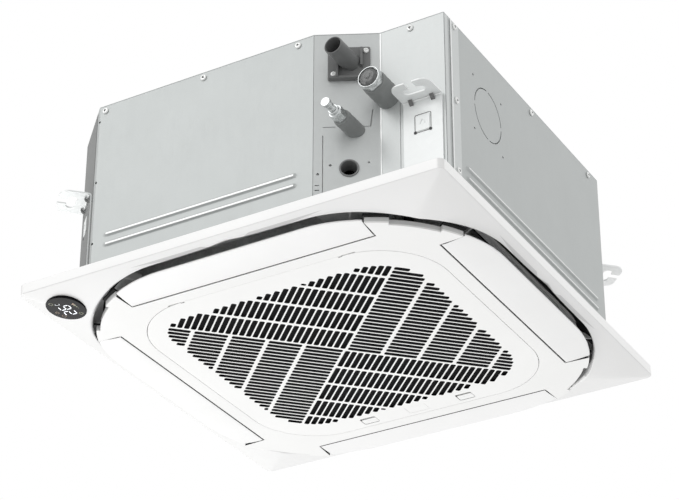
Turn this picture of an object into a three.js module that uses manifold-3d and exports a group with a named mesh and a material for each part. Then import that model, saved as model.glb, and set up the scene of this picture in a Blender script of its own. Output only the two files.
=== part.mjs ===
// Ceiling cassette air conditioner: a cabinet above the ceiling and a square panel below it.
// Millimetres, +Z up. The origin is the middle of the panel's lowest face, the front (long ribs) faces -Y
// and the pipe corner is at +X, -Y.

import * as THREE from 'three';
import { mergeGeometries, mergeVertices } from 'three/addons/utils/BufferGeometryUtils.js';
import Module from 'manifold-3d';

const wasm = await Module();
wasm.setup();

// ---------------------------------------------------------------- driving dimensions

// clearances
const seatGap = 0.3; // between pieces that touch
const seamGap = 0.7; // visible seam between flush panel pieces
const runningGap = 3; // round the impeller

// whole unit
const panelWidth = 620;
const panelDepth = 33.5; // lowest face to the ceiling plane
const ceilingOverlap = 25; // how far the panel reaches past the cabinet on each side
const bodyHeight = 260;
const panelHalf = panelWidth / 2;
const bodyHalf = panelHalf - ceilingOverlap;
const bodyBottom = panelDepth + seatGap;

// cabinet
const bodyChamfer = 69.2; // along each side
const slantLeft = bodyHalf - 167.3; // x where the slanted pipe face leaves the front
const slantRight = bodyHalf - 92.5; // x where it meets the recessed face
const recessDepth = 38.1; // of the recessed face behind the front
const sheet = 1.2;
const lipHeight = 17; // folded lip of the top cover
const foam = 10;
const ribHeight = 6.5;
const ribPitch = 15;
const ribRise = 2;
const ribLevel = 36.6; // lower rib above the cabinet's bottom edge
const frontRib = [20.8, 309.3]; // both ends along the front
const rightRibStart = 51.9; // from the pipe corner along the right side
const ribEndInset = 25.8; // from the right side's far end
const knockoutRadius = 37;
const knockoutAlong = 117.5; // from the pipe corner along the right side
const knockoutLevel = 169.5; // above the cabinet's bottom edge

// screws of the cabinet
const screwHead = 4.5;
const screwRise = 2.4;
const screwShank = 2;
const screwDrop = 9; // below the cabinet's top
const sideScrewInset = 33; // of the outer screws of the back and left sides

// suspension brackets
const bracketWidth = 54.5;
const bracketReach = 42;
const bracketLevel = 138.4; // upper edge of the plate above the ceiling plane
const bracketPlate = 2;
const bracketOnRecess = 61.25; // bracket centre from the inner end of the recessed face
const rodSlotLength = 30;
const rodSlotWidth = 12;
const rodSlotSeat = 23.5; // slot centre from the wall
const rodMouth = 11;
const gussetSize = 8;
const gussetSpread = 15;

// panel
const panelCorner = 9;
const rimHeight = 14.6;
const frameWall = 3;
const faceWidth = 16; // of the frame face in the middle of a side
const throatHalf = panelHalf - faceWidth; // inner edge of the frame face
const throatCorner = 191;
const faceSlope = 0.3; // fall of the frame face towards the throat, at the rim
const faceBend = 0.00137; // and how it flattens, per millimetre from the rim
const faceBow = 0.5; // how early the fall comes on the diagonals
const throatRise = 20; // height where the throat wall starts to lean inwards
const throatLean = 17.5;
const outletGap = 5; // between throat and flaps in plan
const plateHalf = throatHalf - outletGap;
const plateCorner = throatCorner - outletGap;
const plateThickness = 2.5;
const slitDepth = 5; // corner slit cut into the centre plate
const slitHalfAngle = 10.5;
const baseLevel = 8.4; // lower face of the panel base
const baseThickness = 2.8;

// flaps
const flapDepth = 50.6; // from the inner seam to the outer edge
const flapEndInset = 110.5; // from the plate's outer edge to the flap's end
const flapSeam = plateHalf - flapDepth;
const flapHalfLength = plateHalf - flapEndInset;
const flapFlare = 2.6; // how far the flap's end line leans outwards
const flapRise = 4.6; // lower face at the outer edge
const flapThickness = 2.4;
const barrelRadius = 6;
const pinRadius = 2.5;
const pinLength = 6;
const bossWidth = 7.3;
const motorRadius = 10;
const motorLength = 15;
const motorOffset = 7;
const motorShaftRadius = 1.8;

// intake grille
const plateBand = 21.9; // of the centre plate between grille and flaps
const grilleSeam = flapSeam - plateBand; // half width at the seam
const grilleCorner = 97;
const grilleRim = 2.5;
const grilleRimHeight = 10;
const slotFieldX = grilleSeam - 29.5; // half width of the slotted field
const slotFieldY = grilleSeam - 34.5; // half depth
const slotFieldCorner = 76;
const slotPitch = 9.2;
const slotWidth = 5.6;
const slotCell = 50.2;
const slotRib = 3.2;
const shortestSlot = 9;
const grilleHingeRadius = 1.5;
const grilleHingePin = 0.75;
const grilleHingeSpread = grilleSeam - 110.5;
const hingeReliefEnd = 23; // how far the relief runs on past each lug, where the grille's corner starts
const hingeKnuckle = 8;
const hingePinLength = 6;
const hingeLugWidth = 5;
const filterThickness = 3;
const filterCorner = 48;
const latchSpread = 75.5;
const latchLevel = grilleSeam - 16.5; // distance of the latch windows behind the middle
const latchWidth = 24;
const latchHeight = 18;
const latchTravel = 4.4;
const latchRail = 2;
const latchRailGap = 4.5; // from a latch window's side to the middle of its rail

// display
const displayRadius = 26.8;
const displayPlace = panelHalf - 45; // x and y of the disc from the middle
const displayTilt = 7.5;
const displayThickness = 3;

// inside the cabinet
const panHeight = 38;
const panIntake = bodyHalf - 105; // half width of the middle opening
const panIntakeCorner = 60;
const troughInner = bodyHalf - 95;
const troughOuter = bodyHalf - 53;
const troughFloor = 12;
const outletInner = bodyHalf - 49;
const outletOuter = bodyHalf - 19;
const outletHalf = bodyHalf - 113;
const frontOutletEnd = bodyHalf - 173;
const coilHalf = bodyHalf - 59;
const coilThickness = 26;
const coilCorner = 58;
const coilHeight = 200;
const coilEnd = bodyHalf - 135; // where both ends stop short of the pipe corner
const coilRows = 4;
const bellThroat = bodyHalf - 172;
const bellThickness = 2;
const bellRise = 26;
const bellSides = 22;
const impellerRadius = bodyHalf - 120;
const impellerHeight = 126;
const bladeCount = 7;
const bladeThickness = 3;
const shaftRadius = 6;
const motorBody = 60;
const motorHeight = 42;
const bushHeight = 10;
const bushRadius = 7;
const studRadius = 2.5;
const bushCircle = 72;

// pipe corner
const gasX = bodyHalf - 80;
const gasZ = bodyBottom + 156.1;
const gasTip = bodyHalf + 15; // distance of the tip in front of the middle
const gasPipeRadius = 6.35;
const gasBend = 14;
const gasSleeveRadius = 16.8;
const gasNutRadius = 14.8;
const gasNutLength = 11;
const liquidX = bodyHalf - 121;
const liquidZ = gasZ - 44;
const liquidTip = bodyHalf + 50;
const liquidPipeRadius = 3.2;
const liquidBend = 10;
const liquidSleeveRadius = 11.8;
const liquidNutRadius = 8.6;
const liquidNutLength = 20;
const liquidCapLength = 18;
const pipeGap = 0.5;
const drainX = bodyHalf - 124.5;
const drainZ = bodyBottom + 213.1;
const drainTip = bodyHalf + 26;
const drainRadius = 12.5;
const drainBore = 10.8;
const flangeLeft = 18; // along the slanted face
const flangeRight = 72;
const flangeLow = bodyBottom + 186.6;
const flangeHigh = bodyBottom + 237.1;
const flangeThickness = 2.5;
const entryAlong = 45;
const entryZ = bodyBottom + 56.1;
const entryRadius = 11.5;

// drain pump, float and electrics
const pumpX = bodyHalf - 88;
const pumpY = -pumpX;
const pumpRadius = 22;
const pumpHeight = 46;
const pumpWall = 2;
const pumpMotorRadius = 18;
const pumpMotorHeight = 30;
const hoseRadius = 8;
const hoseWall = 2;
const hoseRiserX = bodyHalf - 120;
const hoseRiserY = 99 - bodyHalf;
const floatX = bodyHalf - 64;
const floatY = 109.5 - bodyHalf;
const floatRadius = 8;
const floatTravel = 12;
const boxHalfLength = panIntake - 50;
const boxHalfWidth = 31;
const boxMargin = 6; // from the pan's middle opening
const boxMiddle = panIntake - boxMargin - boxHalfWidth;
const boxHeight = 33;
const boxWall = 1.6;

// ---------------------------------------------------------------- derived levels and places

const bodyTop = bodyBottom + bodyHeight;
const coverUnderside = bodyTop - sheet;
const lipInset = sheet + seatGap;
const screwLength = lipInset + sheet + seatGap;
const foamInset = lipInset + sheet + seatGap;
const insideInset = foamInset + foam + seatGap;
const foamRoof = coverUnderside - seatGap - foam;
const rimBottom = panelDepth - rimHeight;
const flapAxis = flapSeam + Math.sqrt((barrelRadius + 0.6) ** 2 - barrelRadius ** 2) - seamGap / 2;
const grilleHalf = grilleSeam - seamGap / 2;
const openingHalf = grilleSeam + seamGap / 2;
const panTop = bodyBottom + panHeight;
const coilBottom = bodyBottom + troughFloor + seatGap;
const impellerBottom = panTop + bellRise - 4;
const impellerTop = impellerBottom + impellerHeight;
const motorTop = coverUnderside - 2 * seatGap - sheet - bushHeight;
const motorBottom = motorTop - motorHeight;

// ---------------------------------------------------------------- geometry helpers

const at = (x, y) => new THREE.Vector2(x, y);
const radians = (degrees) => degrees * Math.PI / 180;

function bareTriangles(geometry) {
  const bare = geometry.clone();
  bare.deleteAttribute('normal');
  bare.deleteAttribute('uv');
  const merged = mergeVertices(bare, 1e-4);
  const corners = merged.index.array;
  const kept = [];
  for (let i = 0; i < corners.length; i += 3) {
    const [a, b, c] = [corners[i], corners[i + 1], corners[i + 2]];
    if (a !== b && b !== c && c !== a) kept.push(a, b, c);
  }
  return { points: merged.attributes.position.array, corners: kept };
}

function signedVolume({ points, corners }) {
  let volume = 0;
  const corner = (i) => new THREE.Vector3().fromArray(points, corners[i] * 3);
  for (let i = 0; i < corners.length; i += 3) {
    volume += corner(i).dot(corner(i + 1).cross(corner(i + 2)));
  }
  return volume;
}

function toSolid(geometry) {
  const mesh = bareTriangles(geometry);
  if (signedVolume(mesh) < 0) mesh.corners.reverse();
  return new wasm.Manifold(new wasm.Mesh({
    numProp: 3,
    vertProperties: Float32Array.from(mesh.points),
    triVerts: Uint32Array.from(mesh.corners),
  }));
}

function toGeometry(solid) {
  const mesh = solid.getMesh();
  const geometry = new THREE.BufferGeometry();
  geometry.setAttribute('position', new THREE.BufferAttribute(mesh.vertProperties, 3));
  geometry.setIndex(new THREE.BufferAttribute(mesh.triVerts, 1));
  geometry.computeVertexNormals();
  return geometry;
}

function join(...pieces) {
  return toGeometry(pieces.map(toSolid).reduce((whole, piece) => whole.add(piece)));
}

function cut(base, ...tools) {
  return toGeometry(tools.map(toSolid).reduce((rest, tool) => rest.subtract(tool), toSolid(base)));
}

function common(first, second) {
  return toGeometry(toSolid(first).intersect(toSolid(second)));
}

/** Extrudes a loop of plan points from one level to another. */
function prism(loop, low, high, holes = []) {
  const shape = new THREE.Shape(loop);
  shape.holes = holes.map((hole) => new THREE.Path(hole));
  const geometry = new THREE.ExtrudeGeometry(shape, { depth: high - low, bevelEnabled: false });
  return geometry.translate(0, 0, low);
}

function box(x0, x1, y0, y1, z0, z1) {
  const geometry = new THREE.BoxGeometry(x1 - x0, y1 - y0, z1 - z0);
  return geometry.translate((x0 + x1) / 2, (y0 + y1) / 2, (z0 + z1) / 2);
}

/** Turns a profile of [radius, height] pairs round Z; a closed profile repeats its first pair. */
function turned(profile, sides) {
  const points = profile.map(([radius, height]) => at(radius, height));
  return new THREE.LatheGeometry(points, sides).rotateX(Math.PI / 2);
}

function rod(radius, low, high, sides = 12) {
  return turned([[0, low], [radius, low], [radius, high], [0, high]], sides);
}

function tube(outer, inner, low, high, sides = 16) {
  return turned([[inner, low], [outer, low], [outer, high], [inner, high], [inner, low]], sides);
}

/** Lays a piece built along +Z forwards, so that its height becomes distance in front of the middle. */
const forwards = (geometry, x, z) => geometry.rotateX(Math.PI / 2).translate(x, 0, z);

/** Lays a piece built along +Z along +X. */
const sideways = (geometry) => geometry.rotateY(Math.PI / 2);

/** A pipe that runs straight from one point to a corner, bends there, and runs on to the other end. */
function elbowPipe(from, corner, to, radius, bend, steps, sides = 8) {
  const [start, middle, end] = [from, corner, to].map((point) => new THREE.Vector3(...point));
  const before = middle.clone().add(start.clone().sub(middle).setLength(bend));
  const after = middle.clone().add(end.clone().sub(middle).setLength(bend));
  const path = new THREE.CurvePath();
  path.add(new THREE.LineCurve3(start, before));
  path.add(new THREE.QuadraticBezierCurve3(before, middle, after));
  path.add(new THREE.LineCurve3(after, end));
  const section = new THREE.Shape(circle(radius, sides));
  return new THREE.ExtrudeGeometry(section, { steps, extrudePath: path, bevelEnabled: false });
}

/** Sweeps a round section along a smooth curve through the given points. */
function bentRod(points, radius, steps, sides = 8) {
  const section = new THREE.Shape(circle(radius, sides));
  const curve = new THREE.CatmullRomCurve3(points.map((point) => new THREE.Vector3(...point)));
  return new THREE.ExtrudeGeometry(section, { steps, extrudePath: curve, bevelEnabled: false });
}

function circle(radius, sides, x = 0, y = 0, phase = 0) {
  return Array.from({ length: sides }, (_, i) => {
    const angle = phase + 2 * Math.PI * i / sides;
    return at(x + radius * Math.cos(angle), y + radius * Math.sin(angle));
  });
}

/** A square with round corners; both counts fix how many points a corner and a side have. */
function roundedSquare(half, radius, cornerSteps = 8, sideSteps = 1) {
  const centre = half - radius;
  const loop = [];
  for (let quarter = 0; quarter < 4; quarter += 1) {
    const start = radians(90 * quarter);
    const signs = [[1, 1], [-1, 1], [-1, -1], [1, -1]][quarter];
    for (let step = 0; step <= cornerSteps; step += 1) {
      const angle = start + radians(90 * step / cornerSteps);
      loop.push(at(signs[0] * centre + radius * Math.cos(angle), signs[1] * centre + radius * Math.sin(angle)));
    }
    const last = loop.at(-1);
    const alongSide = at(Math.cos(start + Math.PI), Math.sin(start + Math.PI));
    for (let step = 1; step < sideSteps; step += 1) {
      loop.push(last.clone().addScaledVector(alongSide, 2 * centre * step / sideSteps));
    }
  }
  return loop;
}

/** Joins rings with equal numbers of 3-D points, each ring to the next, into one closed skin. */
function ringLoft(rings) {
  const count = rings[0].length;
  const points = rings.flat().flatMap((point) => point.toArray());
  const corners = [];
  rings.forEach((_, row) => {
    const next = (row + 1) % rings.length;
    for (let i = 0; i < count; i += 1) {
      const j = (i + 1) % count;
      const [a, b, c, d] = [row * count + i, row * count + j, next * count + j, next * count + i];
      corners.push(a, b, c, a, c, d);
    }
  });
  const geometry = new THREE.BufferGeometry();
  geometry.setAttribute('position', new THREE.Float32BufferAttribute(points, 3));
  geometry.setIndex(corners);
  return geometry;
}

/** Moves every edge of a loop inwards (to its left) by the given distance. */
function insetLoop(loop, inset) {
  return loop.map((corner, i) => {
    const before = corner.clone().sub(loop.at(i - 1)).normalize();
    const after = loop[(i + 1) % loop.length].clone().sub(corner).normalize();
    const turn = 1 + before.dot(after);
    const normal = at(-before.y - after.y, before.x + after.x);
    return corner.clone().addScaledVector(normal, inset / turn);
  });
}

const quarterTurns = [0, 90, 180, 270].map(radians);

// ---------------------------------------------------------------- the model's tree

const cassette = new THREE.Group();
const cabinet = new THREE.Group();
const panel = new THREE.Group();
cassette.add(cabinet, panel);

function finish(color, roughness, metalness) {
  return new THREE.MeshStandardMaterial({ color, roughness, metalness });
}

const finishes = {
  galvanised: () => finish(0xcdd3d1, 0.45, 0.6),
  zincBracket: () => finish(0xc2c8c6, 0.4, 0.7),
  screw: () => finish(0xe6e8e8, 0.25, 0.9),
  whitePlastic: () => finish(0xf5f5f3, 0.45, 0),
  greyPlastic: () => finish(0x6a6c6c, 0.5, 0),
  blackPlastic: () => finish(0x1c1d1e, 0.5, 0),
  glossBlack: () => finish(0x0c0d0e, 0.08, 0),
  polystyrene: () => finish(0xe9ebea, 0.9, 0),
  foamRubber: () => finish(0x747877, 0.95, 0),
  copper: () => finish(0xb8734a, 0.35, 0.9),
  silver: () => finish(0xd9dbdb, 0.3, 0.9),
  aluminium: () => finish(0xb9bdbe, 0.4, 0.8),
  circuit: () => finish(0x1f5a3a, 0.6, 0),
  rubber: () => finish(0x202222, 0.8, 0),
};

function place(parent, name, geometry, material, position = [0, 0, 0], turn = 0) {
  const mesh = new THREE.Mesh(geometry, material);
  mesh.name = name;
  mesh.position.set(...position);
  mesh.rotation.z = turn;
  parent.add(mesh);
  return mesh;
}

// ---------------------------------------------------------------- cabinet outline and walls

const bodyCorners = [
  at(-bodyHalf, -bodyHalf + bodyChamfer),
  at(-bodyHalf + bodyChamfer, -bodyHalf),
  at(slantLeft, -bodyHalf),
  at(slantRight, -bodyHalf + recessDepth),
  at(bodyHalf, -bodyHalf + recessDepth),
  at(bodyHalf, bodyHalf - bodyChamfer),
  at(bodyHalf - bodyChamfer, bodyHalf),
  at(-bodyHalf + bodyChamfer, bodyHalf),
  at(-bodyHalf, bodyHalf - bodyChamfer),
];
const bodyLoop = (inset) => insetLoop(bodyCorners, inset);

/** One wall of the cabinet; local x runs along it from its start and local -y points outwards. */
function wall(index) {
  const start = bodyCorners[index];
  const end = bodyCorners[(index + 1) % bodyCorners.length];
  const run = end.clone().sub(start);
  return { start, end, length: run.length(), turn: run.angle(), along: run.clone().normalize() };
}

const walls = {
  leftCorner: wall(0),
  front: wall(1),
  slant: wall(2),
  recess: wall(3),
  right: wall(4),
  rightCorner: wall(5),
  back: wall(6),
  backCorner: wall(7),
  left: wall(8),
};

function onWall(side, geometry, along = 0, level = 0) {
  const foot = side.start.clone().addScaledVector(side.along, along);
  return geometry.rotateZ(side.turn).translate(foot.x, foot.y, level);
}

/** A sheet that follows the outline over consecutive corners, trimmed at both ends. */
function foldedSheet(cornerNumbers, low, high) {
  const outer = cornerNumbers.map((i) => bodyCorners[i].clone());
  const inner = cornerNumbers.map((i) => bodyLoop(sheet)[i]);
  for (const path of [outer, inner]) {
    const first = path[1].clone().sub(path[0]).normalize();
    const last = path.at(-2).clone().sub(path.at(-1)).normalize();
    path[0].addScaledVector(first, seatGap);
    path.at(-1).addScaledVector(last, seatGap);
  }
  return prism([...outer, ...inner.reverse()], low, high);
}

// ---------------------------------------------------------------- cabinet screws

const topScrewLevel = bodyTop - screwDrop;
const sideLength = walls.back.length;
const frontEnd = walls.front.length;
const rightEnd = walls.right.length;

/** Where each screw sits: its wall, the distance along it, its level, and the piece it is driven into. */
const cabinetScrews = [
  { side: 'front', along: 10, level: topScrewLevel, into: 'cover' },
  { side: 'front', along: frontEnd - 167.7, level: topScrewLevel, into: 'cover' },
  { side: 'front', along: frontEnd - 23.3, level: topScrewLevel, into: 'cover' },
  { side: 'recess', along: 44.5, level: topScrewLevel, into: 'cover' },
  { side: 'right', along: rightEnd - 213.3, level: topScrewLevel, into: 'cover' },
  { side: 'right', along: rightEnd - 33.3, level: topScrewLevel, into: 'cover' },
  { side: 'back', along: sideScrewInset, level: topScrewLevel, into: 'cover' },
  { side: 'back', along: sideLength / 2, level: topScrewLevel, into: 'cover' },
  { side: 'back', along: sideLength - sideScrewInset, level: topScrewLevel, into: 'cover' },
  { side: 'left', along: sideScrewInset, level: topScrewLevel, into: 'cover' },
  { side: 'left', along: sideLength / 2, level: topScrewLevel, into: 'cover' },
  { side: 'left', along: sideLength - sideScrewInset, level: topScrewLevel, into: 'cover' },
  { side: 'right', along: 24.9, level: topScrewLevel, into: 'pipeCorner' },
  { side: 'right', along: 25.9, level: topScrewLevel - 112, into: 'pipeCorner' },
  { side: 'right', along: 26.9, level: topScrewLevel - 215, into: 'pipeCorner' },
];

function screw(headRadius, rise, shank, length, sides = 6) {
  return turned([
    [0, -length],
    [shank, -length],
    [shank, 0],
    [headRadius, 0],
    [headRadius * 0.6, rise],
    [0, rise],
  ], sides);
}

/** Screw holes through one wall's sheet, as cutters. */
function screwHoles(side) {
  return cabinetScrews.filter((place) => place.side === side).map(({ along, level }) => {
    const cutter = rod(screwShank + seatGap, -screwLength, 1, 6).rotateX(Math.PI / 2);
    return onWall(walls[side], cutter, along, level);
  });
}

/** The screws driven into one piece; each is made in one with the metal that its thread cuts. */
function screwsInto(piece) {
  return cabinetScrews.filter(({ into }) => into === piece).map(({ side, along, level }) => {
    const one = screw(screwHead, screwRise, screwShank, screwLength).translate(0, 0, seatGap);
    return onWall(walls[side], one.rotateX(Math.PI / 2), along, level);
  });
}

// ---------------------------------------------------------------- cabinet sheets

const sheetTop = coverUnderside - seatGap;

function pressedRib(length, level) {
  const half = ribHeight / 2;
  const section = [at(0, -half), at(ribRise, -half * 0.45), at(ribRise, half * 0.45), at(0, half)];
  const rib = new THREE.ExtrudeGeometry(new THREE.Shape(section), { depth: length, bevelEnabled: false });
  rib.applyMatrix4(new THREE.Matrix4().set(
    0, 0, 1, 0,
    -1, 0, 0, 0.2,
    0, 1, 0, 0,
    0, 0, 0, 1,
  ));
  return rib.translate(0, 0, level);
}

function pressedRibs(side, from, to) {
  return [0, ribPitch].map((step) => {
    const level = bodyBottom + ribLevel + ribHeight / 2 + step;
    return onWall(side, pressedRib(to - from, level), from);
  });
}

function makeFrontSheet() {
  const ribs = pressedRibs(walls.front, ...frontRib);
  return cut(join(foldedSheet([0, 1, 2], bodyBottom, sheetTop), ...ribs), ...screwHoles('front'));
}

function knockoutCuts() {
  const cuts = [];
  for (const turn of quarterTurns) {
    const outer = [];
    const inner = [];
    for (let step = 0; step <= 4; step += 1) {
      const angle = turn + radians(10 + 70 * step / 4);
      outer.push(at(Math.cos(angle), Math.sin(angle)).multiplyScalar(knockoutRadius + 0.7));
      inner.push(at(Math.cos(angle), Math.sin(angle)).multiplyScalar(knockoutRadius - 0.7));
    }
    cuts.push(prism([...outer, ...inner.reverse()], -3, 3));
    const corner = turn + radians(45);
    const spread = knockoutRadius * 1.53;
    cuts.push(rod(1.8, -3, 3, 6).translate(spread * Math.cos(corner), spread * Math.sin(corner), 0));
  }
  return cuts.map((piece) => {
    return onWall(walls.right, piece.rotateX(Math.PI / 2), knockoutAlong, bodyBottom + knockoutLevel);
  });
}

function makeRightSheet() {
  const ribs = pressedRibs(walls.right, rightRibStart, walls.right.length - ribEndInset);
  const blank = join(foldedSheet([4, 5, 6], bodyBottom, sheetTop), ...ribs);
  return cut(blank, ...screwHoles('right'), ...knockoutCuts());
}

function makeBackSheet() {
  return cut(foldedSheet([6, 7, 8], bodyBottom, sheetTop), ...screwHoles('back'));
}

function makeLeftSheet() {
  return cut(foldedSheet([8, 0], bodyBottom, sheetTop), ...screwHoles('left'));
}

const slantPlace = (geometry, along, level) => onWall(walls.slant, geometry, along, level);
const flangeScrews = [[66.5, 264.4], [25.5, 229.4]];

/** Everything that passes through the pipe corner's wall, as cutters with the given margin. */
function pipeCornerHoles(margin) {
  return [
    forwards(rod(gasPipeRadius + margin, 200, 300, 12), gasX, gasZ),
    forwards(rod(liquidPipeRadius + margin, 200, 320, 12), liquidX, liquidZ),
    forwards(rod(drainRadius + margin, 200, 320, 16), drainX, drainZ),
    slantPlace(rod(entryRadius + 1.4 + seatGap, -30, 30, 16).rotateX(Math.PI / 2), entryAlong, entryZ),
  ];
}

function makePipeCornerSheet() {
  const flange = 30;
  const reach = bodyHalf - lipInset;
  const outer = [
    bodyCorners[2].clone().addScaledVector(walls.slant.along, seatGap),
    bodyCorners[3].clone(),
    at(reach, bodyCorners[4].y),
    at(reach, bodyCorners[4].y + flange),
  ];
  const inset = bodyLoop(sheet);
  const inner = [
    inset[2].clone().addScaledVector(walls.slant.along, seatGap),
    inset[3],
    at(reach - sheet, inset[4].y),
    at(reach - sheet, bodyCorners[4].y + flange),
  ];
  const blank = prism([...outer, ...inner.reverse()], bodyBottom, sheetTop);
  const drilled = cut(blank, ...screwHoles('recess'), ...pipeCornerHoles(pipeGap));
  return join(drilled, ...spoutScrews(), ...screwsInto('pipeCorner'));
}

function makeTopCover() {
  const plate = prism(bodyCorners, coverUnderside, bodyTop);
  const lip = prism(
    bodyLoop(lipInset), coverUnderside - lipHeight, coverUnderside + sheet / 2, [bodyLoop(lipInset + sheet)],
  );
  const flangeRoom = box(
    bodyHalf - lipInset - sheet - seatGap, bodyHalf,
    -bodyHalf + recessDepth, -bodyHalf + recessDepth + 30 + seatGap + lipInset,
    coverUnderside - lipHeight - 1, coverUnderside,
  );
  const recessRoom = box(
    bodyHalf - 2 * lipInset - sheet, bodyHalf,
    -bodyHalf, -bodyHalf + recessDepth + lipInset + sheet,
    coverUnderside - lipHeight - 1, coverUnderside,
  );
  return join(cut(join(plate, lip), flangeRoom, recessRoom), ...screwsInto('cover'));
}

// ---------------------------------------------------------------- suspension brackets

/** One bracket in the wall frame: x along the wall from its middle, -y outwards, world levels. */
function makeBracket() {
  const back = -seatGap;
  const plateTop = panelDepth + bracketLevel;
  const half = bracketWidth / 2;
  const round = 14;
  const plate = box(-half, half, back - bracketPlate, back, bodyBottom + 3, plateTop);
  const outline = [at(-half, back), at(-half, -bracketReach + round)];
  for (let step = 1; step <= 4; step += 1) {
    const angle = radians(180 + 90 * step / 4);
    outline.push(at(-half + round + round * Math.cos(angle), -bracketReach + round + round * Math.sin(angle)));
  }
  for (let step = 0; step <= 4; step += 1) {
    const angle = radians(270 + 90 * step / 4);
    outline.push(at(half - round + round * Math.cos(angle), -bracketReach + round + round * Math.sin(angle)));
  }
  outline.push(at(half, back));
  const ear = prism(outline, plateTop - bracketPlate, plateTop);
  const slotEnd = rodSlotLength / 2 - rodSlotWidth / 2;
  const slot = [];
  for (const [centre, start] of [[slotEnd, -90], [-slotEnd, 90]]) {
    for (let step = 0; step <= 4; step += 1) {
      const angle = radians(start + 180 * step / 4);
      slot.push(at(centre + rodSlotWidth / 2 * Math.cos(angle), -rodSlotSeat + rodSlotWidth / 2 * Math.sin(angle)));
    }
  }
  const seat = prism(slot, plateTop - 10, plateTop + 10);
  const mouth = box(-rodMouth / 2, rodMouth / 2, -bracketReach - 5, -rodSlotSeat, plateTop - 10, plateTop + 10);
  const gussets = [-gussetSpread, gussetSpread].map((x) => {
    const low = plateTop - bracketPlate;
    const profile = [at(0, low), at(-gussetSize, low + 0.5), at(-gussetSize, low), at(0, low - gussetSize)];
    const gusset = new THREE.ExtrudeGeometry(new THREE.Shape(profile), { depth: bracketPlate, bevelEnabled: false });
    gusset.applyMatrix4(new THREE.Matrix4().set(
      0, 0, 1, x - bracketPlate / 2,
      1, 0, 0, back - bracketPlate / 2,
      0, 1, 0, 0,
      0, 0, 0, 1,
    ));
    return gusset;
  });
  return cut(join(plate, ear, ...gussets), seat, mouth);
}

function placeBrackets() {
  const spots = [
    ['suspension_bracket_left', walls.leftCorner, walls.leftCorner.length / 2],
    ['suspension_bracket_pipe_corner', walls.recess, bracketOnRecess],
    ['suspension_bracket_right', walls.rightCorner, walls.rightCorner.length / 2],
    ['suspension_bracket_back', walls.backCorner, walls.backCorner.length / 2],
  ];
  for (const [name, side, along] of spots) {
    const foot = side.start.clone().addScaledVector(side.along, along);
    place(cabinet, name, makeBracket(), finishes.zincBracket(), [foot.x, foot.y, 0], side.turn);
  }
}

// ---------------------------------------------------------------- liner, drain pan and coil

function makeFoamLiner() {
  const ring = prism(bodyLoop(foamInset), bodyBottom, foamRoof + foam / 2, [bodyLoop(foamInset + foam)]);
  const roof = prism(
    bodyLoop(foamInset), foamRoof, coverUnderside - seatGap, [circle(bushCircle + 16, 24)],
  );
  return cut(join(ring, roof), ...pipeCornerHoles(1.2));
}

function outletCutters(low, high) {
  const cutters = [
    box(-outletHalf, frontOutletEnd, -outletOuter, -outletInner, low, high),
    box(outletInner, outletOuter, -outletHalf, outletHalf, low, high),
    box(-outletHalf, outletHalf, outletInner, outletOuter, low, high),
    box(-outletOuter, -outletInner, -outletHalf, outletHalf, low, high),
  ];
  return cutters;
}

const boltPlace = bodyHalf - 73; // panel bolts, from the middle along both axes
const boltRadius = 2.5;
const boltSpots = [[1, 1], [-1, 1], [-1, -1], [1, -1]].map(([x, y]) => [x * boltPlace, y * boltPlace]);

function makeDrainPan() {
  const intake = roundedSquare(panIntake, panIntakeCorner, 5);
  const block = prism(bodyLoop(insideInset), bodyBottom, panTop, [intake]);
  const trough = prism(
    roundedSquare(troughOuter, coilCorner + 6, 5), bodyBottom + troughFloor, panTop + 1,
    [roundedSquare(troughInner, coilCorner - coilThickness, 5)],
  );
  const holes = boltSpots.map(([x, y]) => rod(boltRadius + seatGap, bodyBottom - 1, bodyBottom + 10, 6)
    .translate(x, y, 0));
  return cut(block, trough, ...outletCutters(bodyBottom - 1, panTop + 1), ...holes);
}

/** The band of the coil in plan: three full sides and two that stop short of the pipe corner. */
function coilBand(outerHalf, thickness) {
  const outer = [at(coilEnd, -outerHalf)];
  const inner = [at(coilEnd, -outerHalf + thickness)];
  const centre = outerHalf - coilCorner;
  for (const [x, y, start] of [[-1, -1, 270], [-1, 1, 180], [1, 1, 90]]) {
    for (let step = 0; step <= 5; step += 1) {
      const angle = radians(start - 90 * step / 5);
      const ray = at(Math.cos(angle), Math.sin(angle));
      const middle = at(x * centre, y * centre);
      outer.push(middle.clone().addScaledVector(ray, coilCorner));
      inner.push(middle.clone().addScaledVector(ray, coilCorner - thickness));
    }
  }
  outer.push(at(outerHalf, -coilEnd));
  inner.push(at(outerHalf - thickness, -coilEnd));
  return [...outer, ...inner.reverse()];
}

const coilTop = coilBottom + coilHeight;

function makeCoil() {
  return prism(coilBand(coilHalf, coilThickness), coilBottom, coilTop);
}

/** The end plate at the coil's front end, with the U bends that join its tubes. */
function makeCoilEnd() {
  const plate = box(
    coilEnd + seatGap, coilEnd + seatGap + sheet, -coilHalf - 2, -coilHalf + coilThickness + 2,
    coilBottom, coilTop,
  );
  const bends = Array.from({ length: coilRows }, (_, row) => {
    const level = coilBottom + coilHeight * (row + 0.5) / coilRows;
    const arc = Array.from({ length: 5 }, (__, step) => {
      const angle = radians(180 * step / 4);
      const x = coilEnd + sheet + 10 * Math.sin(angle);
      return [x, -coilHalf + coilThickness / 2, level - 9 * Math.cos(angle)];
    });
    return bentRod(arc, 3.6, 4, 6);
  });
  return join(plate, ...bends);
}

/** Mirrors a piece of the pipe corner across the corner's diagonal. */
const acrossDiagonal = new THREE.Matrix4().set(
  0, -1, 0, 0,
  -1, 0, 0, 0,
  0, 0, 1, 0,
  0, 0, 0, 1,
);

// ---------------------------------------------------------------- fan

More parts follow.
